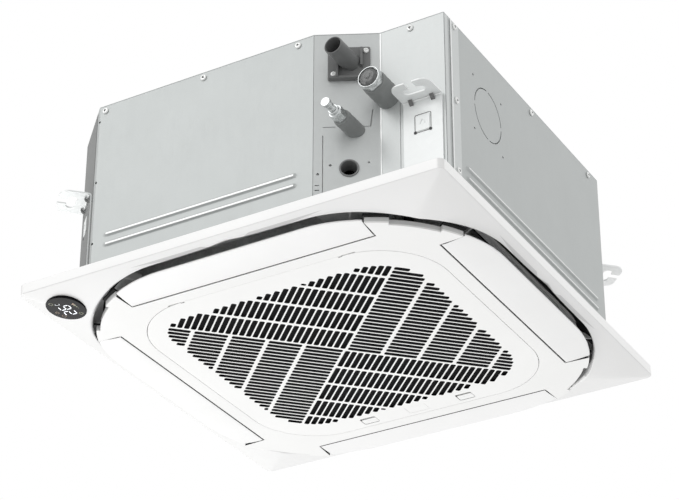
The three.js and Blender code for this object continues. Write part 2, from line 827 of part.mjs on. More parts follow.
function makeBellMouth() {
  const base = panTop + seatGap;
  const flange = prism(
    roundedSquare(troughInner - 1, coilCorner - coilThickness, 5), base, base + bellThickness,
    [circle(bellThroat + 34, bellSides, 0, 0, Math.PI / 2)],
  );
  const steps = 3;
  const inner = [];
  const outer = [];
  for (let step = 0; step <= steps; step += 1) {
    const angle = radians(90 * step / steps);
    const radius = bellThroat + 36 * (1 - Math.sin(angle));
    const height = base + (bellRise - bellThickness) * (1 - Math.cos(angle));
    inner.push([radius, height]);
    outer.push([radius + bellThickness * Math.sin(angle) + 0.01, height + bellThickness * Math.cos(angle)]);
  }
  const profile = [...inner, ...outer.reverse(), inner[0]];
  return join(flange, turned(profile, bellSides));
}

function makeImpeller() {
  const thickness = 2.5;
  const inlet = bellThroat + bellThickness + runningGap;
  const hubTop = impellerBottom + 74;
  const hubBottom = impellerBottom + 44;
  const disc = turned([
    [shaftRadius + seatGap, hubBottom],
    [18, hubBottom],
    [20, hubTop - 8],
    [68, impellerTop - thickness],
    [impellerRadius, impellerTop - thickness],
    [impellerRadius, impellerTop],
    [66, impellerTop],
    [18, hubTop - 4],
    [shaftRadius + seatGap, hubTop - 4],
    [shaftRadius + seatGap, hubBottom],
  ], bellSides);
  const shroudDrop = 24;
  const shroud = turned([
    [inlet, impellerBottom],
    [inlet + thickness, impellerBottom],
    [inlet + 14, impellerBottom + 16],
    [impellerRadius, impellerBottom + shroudDrop],
    [impellerRadius, impellerBottom + shroudDrop + thickness],
    [inlet + 12, impellerBottom + 18.5],
    [inlet, impellerBottom + 4],
    [inlet, impellerBottom],
  ], bellSides);
  const blades = Array.from({ length: bladeCount }, (_, i) => {
    const path = Array.from({ length: 5 }, (__, step) => {
      const share = step / 4;
      const radius = 96 + (impellerRadius - 2 - 96) * share;
      const angle = radians(-34 * share);
      return at(radius * Math.cos(angle), radius * Math.sin(angle));
    });
    const side = path.map((point, step) => {
      const from = path[Math.max(step - 1, 0)];
      const to = path[Math.min(step + 1, 4)];
      const run = to.clone().sub(from).normalize();
      return point.clone().addScaledVector(at(-run.y, run.x), bladeThickness);
    });
    const blade = prism([...path, ...side.reverse()], impellerBottom + 20, impellerTop - thickness / 2);
    return blade.rotateZ(2 * Math.PI * i / bladeCount);
  });
  const below = turned([
    [0, impellerBottom - 20],
    [impellerRadius + 20, impellerBottom - 20],
    [impellerRadius + 20, impellerBottom + shroudDrop + 0.5],
    [impellerRadius, impellerBottom + shroudDrop + 0.5],
    [inlet + 13, impellerBottom + 17],
    [0, impellerBottom + 17],
  ], bellSides);
  return join(disc, shroud, cut(join(...blades), below));
}

const shaftBottom = impellerBottom + 30;

function makeShaft() {
  return rod(shaftRadius, shaftBottom, motorBottom + 24, 12);
}

function makeImpellerNut() {
  const level = impellerBottom + 44 - seatGap;
  return cut(rod(11, level - 8, level, 6), rod(shaftRadius + seatGap, level - 9, level + 1, 16));
}

function bushSpots() {
  return [90, 210, 330].map((angle) => {
    return [bushCircle * Math.cos(radians(angle)), bushCircle * Math.sin(radians(angle))];
  });
}

/** The plate under the cover, with three studs and the rubber bushes bonded round them. */
function makeMotorPlate() {
  const top = coverUnderside - seatGap;
  const low = top - sheet - bushHeight;
  const studs = bushSpots().flatMap(([x, y]) => [
    rod(studRadius, low - 6, top - sheet / 2, 6).translate(x, y, 0),
    rod(bushRadius, low, top - sheet / 2, 10).translate(x, y, 0),
  ]);
  return join(prism(circle(bushCircle + 14, 24), top - sheet, top), ...studs);
}

function makeFanMotor() {
  const ear = 3;
  const body = turned([
    [0, motorTop],
    [motorBody, motorTop],
    [motorBody, motorBottom + 8],
    [motorBody - 12, motorBottom],
    [0, motorBottom],
  ], 24);
  const flange = rod(bushCircle + 12, motorTop - ear, motorTop, 24);
  const holes = bushSpots().map(([x, y]) => {
    return rod(studRadius + seatGap, motorTop - 10, motorTop + 1, 6).translate(x, y, 0);
  });
  const bore = rod(shaftRadius + seatGap, motorBottom - 1, motorBottom + 24 + seatGap, 12);
  return cut(join(body, flange), bore, ...holes);
}

// ---------------------------------------------------------------- drain pump, float and hose

const pumpBottom = bodyBottom + troughFloor + seatGap;

function makePumpHousing() {
  const foot = 6;
  const low = pumpBottom + foot;
  const shell = turned([
    [pumpRadius - 8, low],
    [pumpRadius, low],
    [pumpRadius, low + pumpHeight],
    [0.9 * pumpRadius, low + pumpHeight],
    [3.3, low + pumpHeight],
    [3.3, low + pumpHeight - pumpWall],
    [pumpRadius - pumpWall, low + pumpHeight - pumpWall],
    [pumpRadius - pumpWall, low + pumpWall],
    [pumpRadius - 8, low + pumpWall],
    [pumpRadius - 8, low],
  ], 16);
  const feet = [0, 120, 240].map((angle) => {
    const leg = box(pumpRadius - 5, pumpRadius, -2, 2, pumpBottom, low + pumpWall / 2);
    return leg.rotateZ(radians(angle + 20));
  });
  return join(shell, ...feet).translate(pumpX, pumpY, 0);
}

const pumpTop = pumpBottom + 6 + pumpHeight;

function makePumpMotor() {
  const low = pumpTop + seatGap;
  const body = rod(pumpMotorRadius, low, low + pumpMotorHeight, 16);
  return cut(body, rod(2.3 + seatGap, low - 1, low + 14, 8)).translate(pumpX, pumpY, 0);
}

function makePumpImpeller() {
  const low = pumpBottom + 16;
  const stem = rod(2.3, low, pumpTop + 12, 8);
  const blades = [0, 90].map((angle) => box(-14, 14, -1, 1, low + 1, low + 20).rotateZ(radians(angle)));
  return join(stem, rod(14, low, low + 2, 12), ...blades).translate(pumpX, pumpY, 0);
}

/** Rises from the pump's side outlet, past the coil's end, to the inner end of the drain spout. */
function makeDrainHose() {
  const start = pumpTop - 14;
  const side = pumpX - pumpRadius;
  const section = new THREE.Shape(circle(hoseRadius, 6));
  section.holes = [new THREE.Path(circle(hoseRadius - hoseWall, 6))];
  const route = [
    [side - seatGap, pumpY, start],
    [side - 5, pumpY, start],
    [side - 10, pumpY + 6, start + 12],
    [hoseRiserX, hoseRiserY, start + 50],
    [hoseRiserX, hoseRiserY, drainZ - 32],
    [hoseRiserX - 2, hoseRiserY - 12, drainZ - 4],
    [drainX, hoseRiserY - 30, drainZ],
    [drainX, drainInnerEnd + seatGap, drainZ],
  ];
  const curve = new THREE.CatmullRomCurve3(route.map((point) => new THREE.Vector3(...point)));
  return new THREE.ExtrudeGeometry(section, { steps: 15, extrudePath: curve, bevelEnabled: false });
}

const floatLow = bodyBottom + troughFloor + seatGap;
const stemRadius = 2.5;
const floatHeight = 12;
const floatRest = floatLow + 6;

function makeFloatStem() {
  const top = floatRest + floatHeight + floatTravel + 4;
  return turned([
    [0, floatLow],
    [6, floatLow],
    [6, floatRest - seatGap],
    [stemRadius, floatRest - seatGap],
    [stemRadius, top],
    [6, top],
    [6, top + 20],
    [0, top + 20],
  ], 10).translate(floatX, floatY, 0);
}

function makeFloat() {
  return tube(floatRadius, stemRadius + seatGap, floatRest, floatRest + floatHeight, 12)
    .translate(floatX, floatY, 0);
}

// ---------------------------------------------------------------- control box

const boxTop = panTop - seatGap;
const boxBottom = boxTop - boxHeight;

function makeControlBox() {
  const shell = box(
    -boxHalfLength, boxHalfLength, boxMiddle - boxHalfWidth, boxMiddle + boxHalfWidth, boxBottom, boxTop,
  );
  const inside = box(
    -boxHalfLength + boxWall, boxHalfLength - boxWall, boxMiddle - boxHalfWidth + boxWall,
    boxMiddle + boxHalfWidth - boxWall, boxBottom - 1, boxTop - boxWall,
  );
  const posts = [-1, 1].flatMap((x) => [-1, 1].map((y) => {
    return rod(3, boxTop - boxWall - 6, boxTop - boxWall / 2, 8)
      .translate(x * (boxHalfLength - 14), boxMiddle + y * (boxHalfWidth - 12), 0);
  }));
  return join(cut(shell, inside), ...posts);
}

function makeControlLid() {
  return box(
    -boxHalfLength, boxHalfLength, boxMiddle - boxHalfWidth, boxMiddle + boxHalfWidth,
    boxBottom - seatGap - boxWall, boxBottom - seatGap,
  );
}

/** The board hangs under the posts and carries the terminal block and two parts. */
function makeCircuitBoard() {
  const top = boxTop - boxWall - 6 - seatGap;
  const board = box(
    -boxHalfLength + 6, boxHalfLength - 6, boxMiddle - boxHalfWidth + 6, boxMiddle + boxHalfWidth - 6,
    top - boxWall, top,
  );
  const under = top - boxWall / 2;
  const end = boxHalfLength - 20;
  const terminals = box(end - 70, end, boxMiddle - 12, boxMiddle + 8, under - 14, under);
  const capacitor = rod(9, under - 16, under, 12).translate(-end + 80, boxMiddle, 0);
  const transformer = box(-end + 10, -end + 50, boxMiddle - 15, boxMiddle + 15, under - 15, under);
  return join(board, terminals, capacitor, transformer);
}

// ---------------------------------------------------------------- pipe corner pieces

const drainInnerEnd = -bodyHalf + recessDepth + 9;

/** Everything behind the slanted wall's outer face, as one cutter. */
function behindSlant(gap) {
  return slantPlace(box(-60, 200, -gap, 80, 0, bodyTop + 40), 0, 0);
}

function makeDrainSpout() {
  const flange = slantPlace(
    box(flangeLeft, flangeRight, -seatGap - flangeThickness, -seatGap, flangeLow, flangeHigh), 0, 0,
  );
  const collar = cut(
    forwards(rod(drainRadius + 4, 250, 281, 16), drainX, drainZ), behindSlant(seatGap + flangeThickness / 2),
  );
  const body = forwards(rod(drainRadius, -drainInnerEnd, drainTip, 16), drainX, drainZ);
  const bore = forwards(rod(drainBore, -drainInnerEnd - 2, drainTip + 2, 16), drainX, drainZ);
  const holes = flangeScrews.map(([along, level]) => {
    return slantPlace(rod(screwShank + seatGap, -12, 12, 6).rotateX(Math.PI / 2), along, level);
  });
  return cut(join(flange, collar, body), bore, ...holes);
}

/** The two screws that hold the drain spout's flange; they are driven into the sheet behind it. */
function spoutScrews() {
  const seat = flangeThickness + 2 * seatGap;
  return flangeScrews.map(([along, level]) => {
    const one = screw(screwHead - 0.7, screwRise, screwShank, seat + sheet + seatGap).translate(0, 0, seat);
    return slantPlace(one.rotateX(Math.PI / 2), along, level);
  });
}

/** Where a pipe's riser stands, so that its bend of the given size lies clear of the liner. */
const pipeRiser = (bend) => -bodyHalf + recessDepth + foamInset + foam + bend + 1;

function makeGasPipe() {
  const y = pipeRiser(gasBend);
  return elbowPipe(
    [gasX, -gasTip + 4, gasZ], [gasX, y, gasZ], [gasX, y, coilTop - 8], gasPipeRadius, gasBend, 12,
  );
}

function sleeveEnd(tip, ...lengths) {
  return tip - lengths.reduce((sum, length) => sum + length + seatGap, 0);
}

function makeGasSleeve() {
  const front = bodyHalf - recessDepth + seatGap;
  const end = sleeveEnd(gasTip, gasNutLength);
  const whole = forwards(tube(gasSleeveRadius, gasPipeRadius + seatGap, front, end, 20), gasX, gasZ);
  return cut(whole, behindSlant(seatGap));
}

function makeGasNut() {
  const outer = forwards(rod(gasNutRadius * 1.08, gasTip - gasNutLength, gasTip - 4, 6), gasX, gasZ);
  const rim = forwards(rod(gasNutRadius, gasTip - 6, gasTip, 20), gasX, gasZ);
  const bore = forwards(rod(gasPipeRadius + seatGap, gasTip - gasNutLength - 1, gasTip + 1, 16), gasX, gasZ);
  const seat = forwards(rod(gasNutRadius - 2.4, gasTip - 3.4, gasTip + 1, 20), gasX, gasZ);
  return cut(join(outer, rim), bore, seat);
}

function makeGasPlug() {
  return forwards(turned([
    [0, gasTip - 3.1],
    [gasNutRadius - 2.4 - seatGap, gasTip - 3.1],
    [gasNutRadius - 2.4 - seatGap, gasTip - 1.2],
    [gasNutRadius - 5, gasTip - 0.6],
    [0, gasTip - 0.6],
  ], 20), gasX, gasZ);
}

function makeLiquidPipe() {
  const y = pipeRiser(liquidBend);
  return elbowPipe(
    [liquidX, -liquidTip + 4, liquidZ], [liquidX, y, liquidZ], [liquidX, y, coilTop - 24],
    liquidPipeRadius, liquidBend, 14, 6,
  );
}

function makeLiquidSleeve() {
  const end = sleeveEnd(liquidTip, liquidCapLength, liquidNutLength);
  const whole = forwards(
    tube(liquidSleeveRadius, liquidPipeRadius + seatGap, 230, end, 16), liquidX, liquidZ,
  );
  return cut(whole, behindSlant(seatGap));
}

function makeLiquidNut() {
  const tip = liquidTip - liquidCapLength - seatGap;
  const hexagon = forwards(rod(liquidNutRadius * 1.12, tip - liquidNutLength, tip - 6, 6), liquidX, liquidZ);
  const neck = forwards(rod(liquidNutRadius - 1.6, tip - 8, tip, 12), liquidX, liquidZ);
  const bore = forwards(rod(liquidPipeRadius + seatGap, tip - liquidNutLength - 1, tip + 1, 8), liquidX, liquidZ);
  return cut(join(hexagon, neck), bore);
}

function makeLiquidCap() {
  const low = liquidTip - liquidCapLength;
  return forwards(turned([
    [liquidPipeRadius + seatGap, low],
    [5.2, low],
    [5.2, liquidTip - 7],
    [6.3, liquidTip - 5],
    [6.3, liquidTip],
    [0, liquidTip],
    [0, liquidTip - 4 + seatGap],
    [liquidPipeRadius + seatGap, liquidTip - 4 + seatGap],
    [liquidPipeRadius + seatGap, low],
  ], 12), liquidX, liquidZ);
}

function makeCableRing() {
  const lip = 2;
  const ring = turned([
    [entryRadius, -foam],
    [entryRadius + 1.4, -foam],
    [entryRadius + 1.4, seatGap],
    [entryRadius + 3.4, seatGap],
    [entryRadius + 3.4, seatGap + lip],
    [entryRadius, seatGap + lip],
    [entryRadius, -foam],
  ], 16);
  return slantPlace(ring.rotateX(Math.PI / 2), entryAlong, entryZ);
}

// ---------------------------------------------------------------- panel frame

const bigCornerSteps = 8; // of the loops round the flaps
const loopSteps = [bigCornerSteps, 3];
const panelLoop = (half, radius) => roundedSquare(half, radius, ...loopSteps);

/** How far the frame face falls at the throat, for a point of the throat loop. */
function throatDrop(point) {
  const fromRim = panelWidth / 2 - Math.max(Math.abs(point.x), Math.abs(point.y));
  return fromRim * (faceSlope - faceBend * fromRim);
}

const sideDrop = throatDrop(at(throatHalf, 0));
const throatDiagonal = throatHalf - throatCorner * (1 - Math.SQRT1_2);
const cornerDrop = throatDrop(at(throatDiagonal, throatDiagonal));

/** Height of the frame face at a share of the way from the rim to a throat point with that drop. */
function faceLevel(share, drop) {
  const bow = 1 + faceBow * (drop - sideDrop) / (cornerDrop - sideDrop);
  return rimBottom - drop * (bow * share + (1 - bow) * share * share);
}

function faceRing(share, lift = 0) {
  const outer = panelLoop(panelWidth / 2 - lift, panelCorner - lift);
  const inner = panelLoop(throatHalf + lift, throatCorner + lift);
  return outer.map((edge, i) => {
    const plan = edge.clone().lerp(inner[i], share);
    return new THREE.Vector3(plan.x, plan.y, faceLevel(share, throatDrop(inner[i])) + lift);
  });
}

function levelRing(half, radius, level) {
  return panelLoop(half, radius).map((point) => new THREE.Vector3(point.x, point.y, level));
}

function frameShell() {
  const outer = panelWidth / 2;
  const seatOuter = throatHalf - throatLean + 12;
  return ringLoft([
    levelRing(outer, panelCorner, panelDepth),
    faceRing(0),
    faceRing(0.33),
    faceRing(0.67),
    faceRing(1),
    levelRing(throatHalf, throatCorner, throatRise),
    levelRing(throatHalf - throatLean, throatCorner - throatLean, panelDepth),
    levelRing(seatOuter, 118, panelDepth),
    levelRing(throatHalf + frameWall, throatCorner + frameWall, throatRise + frameWall),
    faceRing(1, frameWall),
    faceRing(0.5, frameWall),
    faceRing(0, frameWall),
    levelRing(outer - frameWall, panelCorner - frameWall, panelDepth),
  ]);
}

/** The display's disc, in a plane that follows the frame face at that corner. */
function displayDisc(radius, low, high, sides) {
  const rimDiagonal = panelWidth / 2 - panelCorner * (1 - Math.SQRT1_2);
  const share = (rimDiagonal - displayPlace) / (rimDiagonal - throatDiagonal);
  const disc = rod(radius, low, high, sides);
  disc.applyMatrix4(new THREE.Matrix4().makeRotationAxis(
    new THREE.Vector3(1, -1, 0).normalize(), radians(-displayTilt),
  ));
  return disc.translate(-displayPlace, -displayPlace, faceLevel(share, cornerDrop));
}

function makeFasciaFrame() {
  const shell = frameShell();
  const cover = cut(
    prism(
      roundedSquare(throatHalf - throatLean + 2, throatCorner - throatLean + 2, bigCornerSteps),
      panelDepth - frameWall, panelDepth,
    ),
    prism(bodyLoop(foamInset + foam / 2), panelDepth - frameWall - 1, panelDepth + 1),
  );
  const ribs = [];
  for (const turn of quarterTurns) {
    for (const spread of [-14, 14]) {
      const rib = box(throatHalf - 22, throatHalf + 62, -1.2, 1.2, rimBottom, panelDepth - 2);
      ribs.push(rib.rotateZ(radians(45 + spread)).rotateZ(turn));
    }
  }
  const room = prism(panelLoop(panelWidth / 2 - 1, panelCorner), 0, panelDepth, [
    roundedSquare(throatHalf + 1, throatCorner + 1, bigCornerSteps),
  ]);
  const webs = common(join(...ribs), room);
  return cut(join(shell, cover, webs), displayDisc(displayRadius + seatGap, -12, 12, 24));
}

/** The round display: its lens flush in the frame, with the lamp board's step behind it. */
function makeDisplay() {
  return join(
    displayDisc(displayRadius, 0, displayThickness, 24),
    displayDisc(displayRadius - 3, displayThickness / 2, displayThickness + 3, 12),
  );
}

// ---------------------------------------------------------------- panel base and centre plate

/** A block over one corner slit between two radii measured from the corner arc's middle. */
function slitBlock(inner, outer, low, high, margin = 0) {
  const centre = throatHalf - throatCorner;
  const loop = [];
  for (const [radius, order] of [[inner, 1], [outer, -1]]) {
    for (let step = -2; step <= 2; step += 1) {
      const angle = radians(45 + order * (slitHalfAngle + margin) * step / 2);
      loop.push(at(centre + radius * Math.cos(angle), centre + radius * Math.sin(angle)));
    }
  }
  return prism(loop, low, high);
}

const slitBlocks = (...sizes) => quarterTurns.map((turn) => slitBlock(...sizes).rotateZ(turn));

/** The flap's plan on the front side, grown by a margin. */
function flapPlan(margin, inner, outer) {
  const lean = flapFlare / (plateHalf - flapSeam);
  const half = (y) => flapHalfLength + margin + lean * Math.max(y - flapSeam, 0);
  return [at(-half(inner), -inner), at(-half(outer), -outer), at(half(outer), -outer), at(half(inner), -inner)];
}

const bossStart = flapHalfLength + seamGap + seatGap;
const bossEnd = bossStart + bossWidth;
const motorStart = bossEnd + seatGap;
const motorEnd = motorStart + motorLength;
const bossTop = 2 * barrelRadius;

function makePanelBase() {
  const top = baseLevel + baseThickness;
  const outer = roundedSquare(throatHalf - seatGap - 0.2, throatCorner - seatGap - 0.2, bigCornerSteps);
  const intake = roundedSquare(openingHalf + 2 + seatGap, grilleCorner + seamGap + 2 + seatGap, 8);
  const plate = prism(outer, baseLevel, top, [intake]);
  const wallOuter = roundedSquare(openingHalf + 4.5, grilleCorner + 4.5, 8);
  const innerWall = prism(wallOuter, baseLevel, panelDepth - seatGap, [intake]);
  const bosses = boltSpots.map(([x, y]) => rod(7, baseLevel + 1, panelDepth - seatGap, 8).translate(x, y, 0));
  const holes = boltSpots.map(([x, y]) => rod(boltRadius + seatGap, 0, panelDepth + 1, 6).translate(x, y, 0));
  const outlets = quarterTurns.flatMap((turn) => [
    prism(flapPlan(2, flapAxis - barrelRadius - 1.2, plateHalf + 20), 0, panelDepth).rotateZ(turn),
    box(-bossEnd - 1, motorEnd + 1, -flapAxis - motorRadius - 1.5, -flapAxis + motorRadius + 1, 0, panelDepth)
      .rotateZ(turn),
  ]);
  const slits = slitBlocks(plateCorner - 9, throatCorner + 4, 0, panelDepth);
  return cut(join(plate, innerWall, ...bosses), ...outlets, ...slits, ...holes);
}

/** Bearing bosses of one flap; the one at the motor's side takes the motor shaft too. */
function flapBosses() {
  const wallLow = plateThickness / 2;
  return [
    box(bossStart, bossEnd, -flapAxis - 5, -flapAxis + 5, wallLow, bossTop - 1),
    box(-bossEnd, -bossStart, -flapAxis - 5, -flapAxis + 5, wallLow, bossTop - 1),
  ];
}

const hingeLine = grilleHalf;
const hingeReach = grilleHingeSpread + hingeKnuckle; // half length of the grille's hinge bead
const hingeLugStart = hingeReach + 0.5;

/** Small lugs of the centre plate, each with the moulded pin that the grille swings on. */
function hingeLugs() {
  return [-1, 1].map((side) => {
    const lugLow = side > 0 ? hingeLugStart : -hingeLugStart - hingeLugWidth;
    const pinLow = side > 0 ? hingeLugStart - hingePinLength : -hingeLugStart - 1;
    const onHinge = (piece) => sideways(piece).translate(0, -hingeLine, grilleHingeRadius);
    const lug = onHinge(rod(grilleHingeRadius - 0.2, lugLow, lugLow + hingeLugWidth, 10));
    const pin = onHinge(rod(grilleHingePin, pinLow, pinLow + hingePinLength + 1, 8));
    const root = box(
      lugLow, lugLow + hingeLugWidth, -hingeLine - 4, -hingeLine,
      plateThickness / 2, 2 * grilleHingeRadius - 0.4,
    );
    return join(lug, pin, root);
  });
}

function makeCentrePlate() {
  const outline = roundedSquare(plateHalf, plateCorner, bigCornerSteps);
  const opening = roundedSquare(openingHalf, grilleCorner + seamGap, 8);
  const plate = prism(outline, 0, plateThickness, [opening]);
  const lip = prism(
    roundedSquare(plateHalf, plateCorner, bigCornerSteps), plateThickness / 2, baseLevel - seatGap,
    [roundedSquare(plateHalf - 2, plateCorner - 2, bigCornerSteps)],
  );
  const slitLip = slitBlocks(
    plateCorner - slitDepth - 2, plateCorner - 1, plateThickness / 2, baseLevel - seatGap, 0.7,
  );
  const intakeWall = prism(
    roundedSquare(openingHalf + 2, grilleCorner + seamGap + 2, 8), plateThickness / 2, grilleRimHeight + 6,
    [opening],
  );
  const bosses = quarterTurns.flatMap((turn) => flapBosses().map((boss) => boss.rotateZ(turn)));
  const cutters = quarterTurns.flatMap((turn) => [
    prism(flapPlan(seamGap, flapSeam, plateHalf + 20), -1, baseLevel + 1).rotateZ(turn),
    sideways(rod(
      (barrelRadius + 0.6) / Math.cos(Math.PI / 24), -flapHalfLength - seamGap, flapHalfLength + seamGap, 24,
    )).translate(0, -flapAxis, barrelRadius).rotateZ(turn),
    sideways(rod(pinRadius + seatGap, -bossEnd - 1, bossEnd + 1, 12))
      .translate(0, -flapAxis, barrelRadius).rotateZ(turn),
  ]);
  const slits = slitBlocks(plateCorner - slitDepth, throatCorner + 4, -1, baseLevel + 1);
  const reach = hingeLugStart + hingeLugWidth;
  const reliefRadius = grilleHingeRadius * Math.SQRT2 + seatGap / 2; // clears the grille's square lower edge
  const reliefEnd = reach + hingeReliefEnd;
  const hingeRelief = sideways(rod(reliefRadius / Math.cos(Math.PI / 20), -reliefEnd, reliefEnd, 20))
    .translate(0, -hingeLine, grilleHingeRadius);
  const knuckleRoom = box(
    -reach, reach, -hingeLine - grilleHingeRadius - 0.5, -hingeLine + 5,
    grilleHingeRadius, grilleRimHeight + 8,
  );
  const boltRoom = boltSpots.map(([x, y]) => rod(6.5, plateThickness, 12, 8).translate(x, y, 0));
  const shaped = cut(
    join(plate, lip, ...slitLip, intakeWall), ...cutters, ...slits, hingeRelief, knuckleRoom, ...boltRoom,
  );
  const bored = cut(join(...bosses), ...cutters.filter((_, i) => i % 3 === 2));
  return join(shaped, bored, ...hingeLugs());
}

/** A bolt up through the panel base into the cabinet's bottom; its origin is its own axis. */
function makePanelBolt() {
  return turned([
    [0, baseLevel - seatGap - 4],
    [5, baseLevel - seatGap - 4],
    [5, baseLevel - seatGap],
    [boltRadius, baseLevel - seatGap],
    [boltRadius, bodyBottom + 9],
    [0, bodyBottom + 9],
  ], 6);
}

const cornerNames = ['right', 'back', 'left', 'pipe_corner'];

function placePanelBolts() {
  boltSpots.forEach(([x, y], i) => {
    place(panel, `panel_bolt_${cornerNames[i]}`, makePanelBolt(), finishes.screw(), [x, y, 0]);
  });
}

// ---------------------------------------------------------------- flaps and their motors

/** A flap on the front side: origin on its hinge axis, curved blade outwards, pins at both ends. */
function makeFlap() {
  const outerEdge = plateHalf + 4 - flapAxis;
  const rise = (distance) => flapRise * (Math.max(distance, 0) / (plateHalf - flapAxis)) ** 1.5 - barrelRadius;
  const low = [];
  const high = [];
  for (let step = 0; step <= 4; step += 1) {
    const distance = outerEdge * step / 4;
    low.push(at(distance, rise(distance)));
    high.push(at(distance, rise(distance) + flapThickness));
  }
  const section = new THREE.Shape([...low, ...high.reverse()]);
  const reach = flapHalfLength + flapFlare + 2;
  const blade = new THREE.ExtrudeGeometry(section, { depth: 2 * reach, bevelEnabled: false });
  blade.applyMatrix4(new THREE.Matrix4().set(
    0, 0, 1, -reach,
    -1, 0, 0, -flapAxis,
    0, 1, 0, 0,
    0, 0, 0, 1,
  ));
  const ends = prism(flapPlan(0, flapAxis - 3, plateHalf + 10), -20, 20);
  const plan = prism(roundedSquare(plateHalf, plateCorner, bigCornerSteps), -20, 20);
  const trimmed = common(common(blade, ends), plan);
  const barrel = sideways(rod(barrelRadius, -flapHalfLength, flapHalfLength, 16)).translate(0, -flapAxis, 0);
  const pinEnd = bossStart + pinLength - 1.5;
  const pins = sideways(rod(pinRadius, -pinEnd, pinEnd, 12)).translate(0, -flapAxis, 0);
  return join(trimmed, barrel, pins).translate(0, flapAxis, 0);
}

const flapNames = ['flap_front', 'flap_right', 'flap_back', 'flap_left'];

function placeFlaps() {
  flapNames.forEach((name, i) => {
    const turn = quarterTurns[i];
    const axis = [flapAxis * Math.sin(turn), -flapAxis * Math.cos(turn), barrelRadius];
    place(panel, name, makeFlap(), finishes.whitePlastic(), axis, turn);
    place(panel, name.replace('flap', 'flap_motor'), makeFlapMotor(), finishes.silver(), axis, turn);
  });
}

/** A flap's stepper motor: its shaft, off the body's middle, reaches into the boss at the flap's end. */
function makeFlapMotor() {
  const shaftEnd = bossStart + pinLength - 1.5 + seatGap;
  return join(
    sideways(rod(motorRadius, motorStart, motorEnd, 16)).translate(0, 0, motorOffset),
    sideways(rod(motorShaftRadius, shaftEnd, motorStart + 1, 8)),
  );
}

// ---------------------------------------------------------------- intake grille, filter and latches

/** Signed distance to the slotted field's edge; negative inside. */
function fieldDistance(x, y) {
  const dx = Math.abs(x) - slotFieldX + slotFieldCorner;
  const dy = Math.abs(y) - slotFieldY + slotFieldCorner;
  const inside = Math.min(Math.max(dx, dy), 0);
  return Math.hypot(Math.max(dx, 0), Math.max(dy, 0)) + inside - slotFieldCorner;
}

/** Trims a slot to the field: walks its two ends inwards until they lie inside the edge. */
function trimmedSlot(from, to, toPlan) {
  const margin = slotWidth / 2;
  const inside = (distance) => {
    const point = toPlan(distance);
    return fieldDistance(point.x, point.y) <= -margin;
  };
  const samples = 60;
  const held = Array.from({ length: samples + 1 }, (_, i) => from + (to - from) * i / samples).filter(inside);
  if (held.length < 2 || held.at(-1) - held[0] < shortestSlot - slotWidth) return null;
  return [held[0], held.at(-1)];
}

/** All slots, each as its four plan corners; one family runs along each diagonal. */
function grilleSlots() {
  const slots = [];
  const root = Math.SQRT1_2;
  const frames = [
    { across: at(root, root), along: at(root, -root) },
    { across: at(root, -root), along: at(root, root) },
  ];
  const rows = Math.ceil(slotFieldX * Math.SQRT2 / slotPitch);
  const cells = Math.ceil(slotFieldX * Math.SQRT2 / slotCell);
  for (const { across, along } of frames) {
    const opposite = across.x * along.x > 0 && across.y > 0;
    for (let row = -rows; row < rows; row += 1) {
      const offset = (row + 0.5) * slotPitch;
      for (let cell = -cells; cell < cells; cell += 1) {
        const from = cell * slotCell + slotRib / 2 + (slotWidth / 2);
        const to = (cell + 1) * slotCell - slotRib / 2 - (slotWidth / 2);
        const toPlan = (distance) => across.clone().multiplyScalar(offset).addScaledVector(along, distance);
        const middle = toPlan((from + to) / 2);
        const frontOrBack = Math.abs(middle.y) > Math.abs(middle.x);
        if (frontOrBack !== opposite) continue;
        const ends = trimmedSlot(from, to, toPlan);
        if (!ends) continue;
        const half = slotWidth / 2;
        const [start, end] = [ends[0] - half, ends[1] + half];
        const corners = [[start, -half], [end, -half], [end, half], [start, half]];
        slots.push(corners.map(([distance, side]) => toPlan(distance).addScaledVector(across, side)));
      }
    }
  }
  return slots;
}

const latchWindowLow = latchLevel - latchHeight / 2;
const latchPadDepth = latchHeight - latchTravel - 2 * seatGap;
const latchSpots = [-latchSpread, latchSpread];

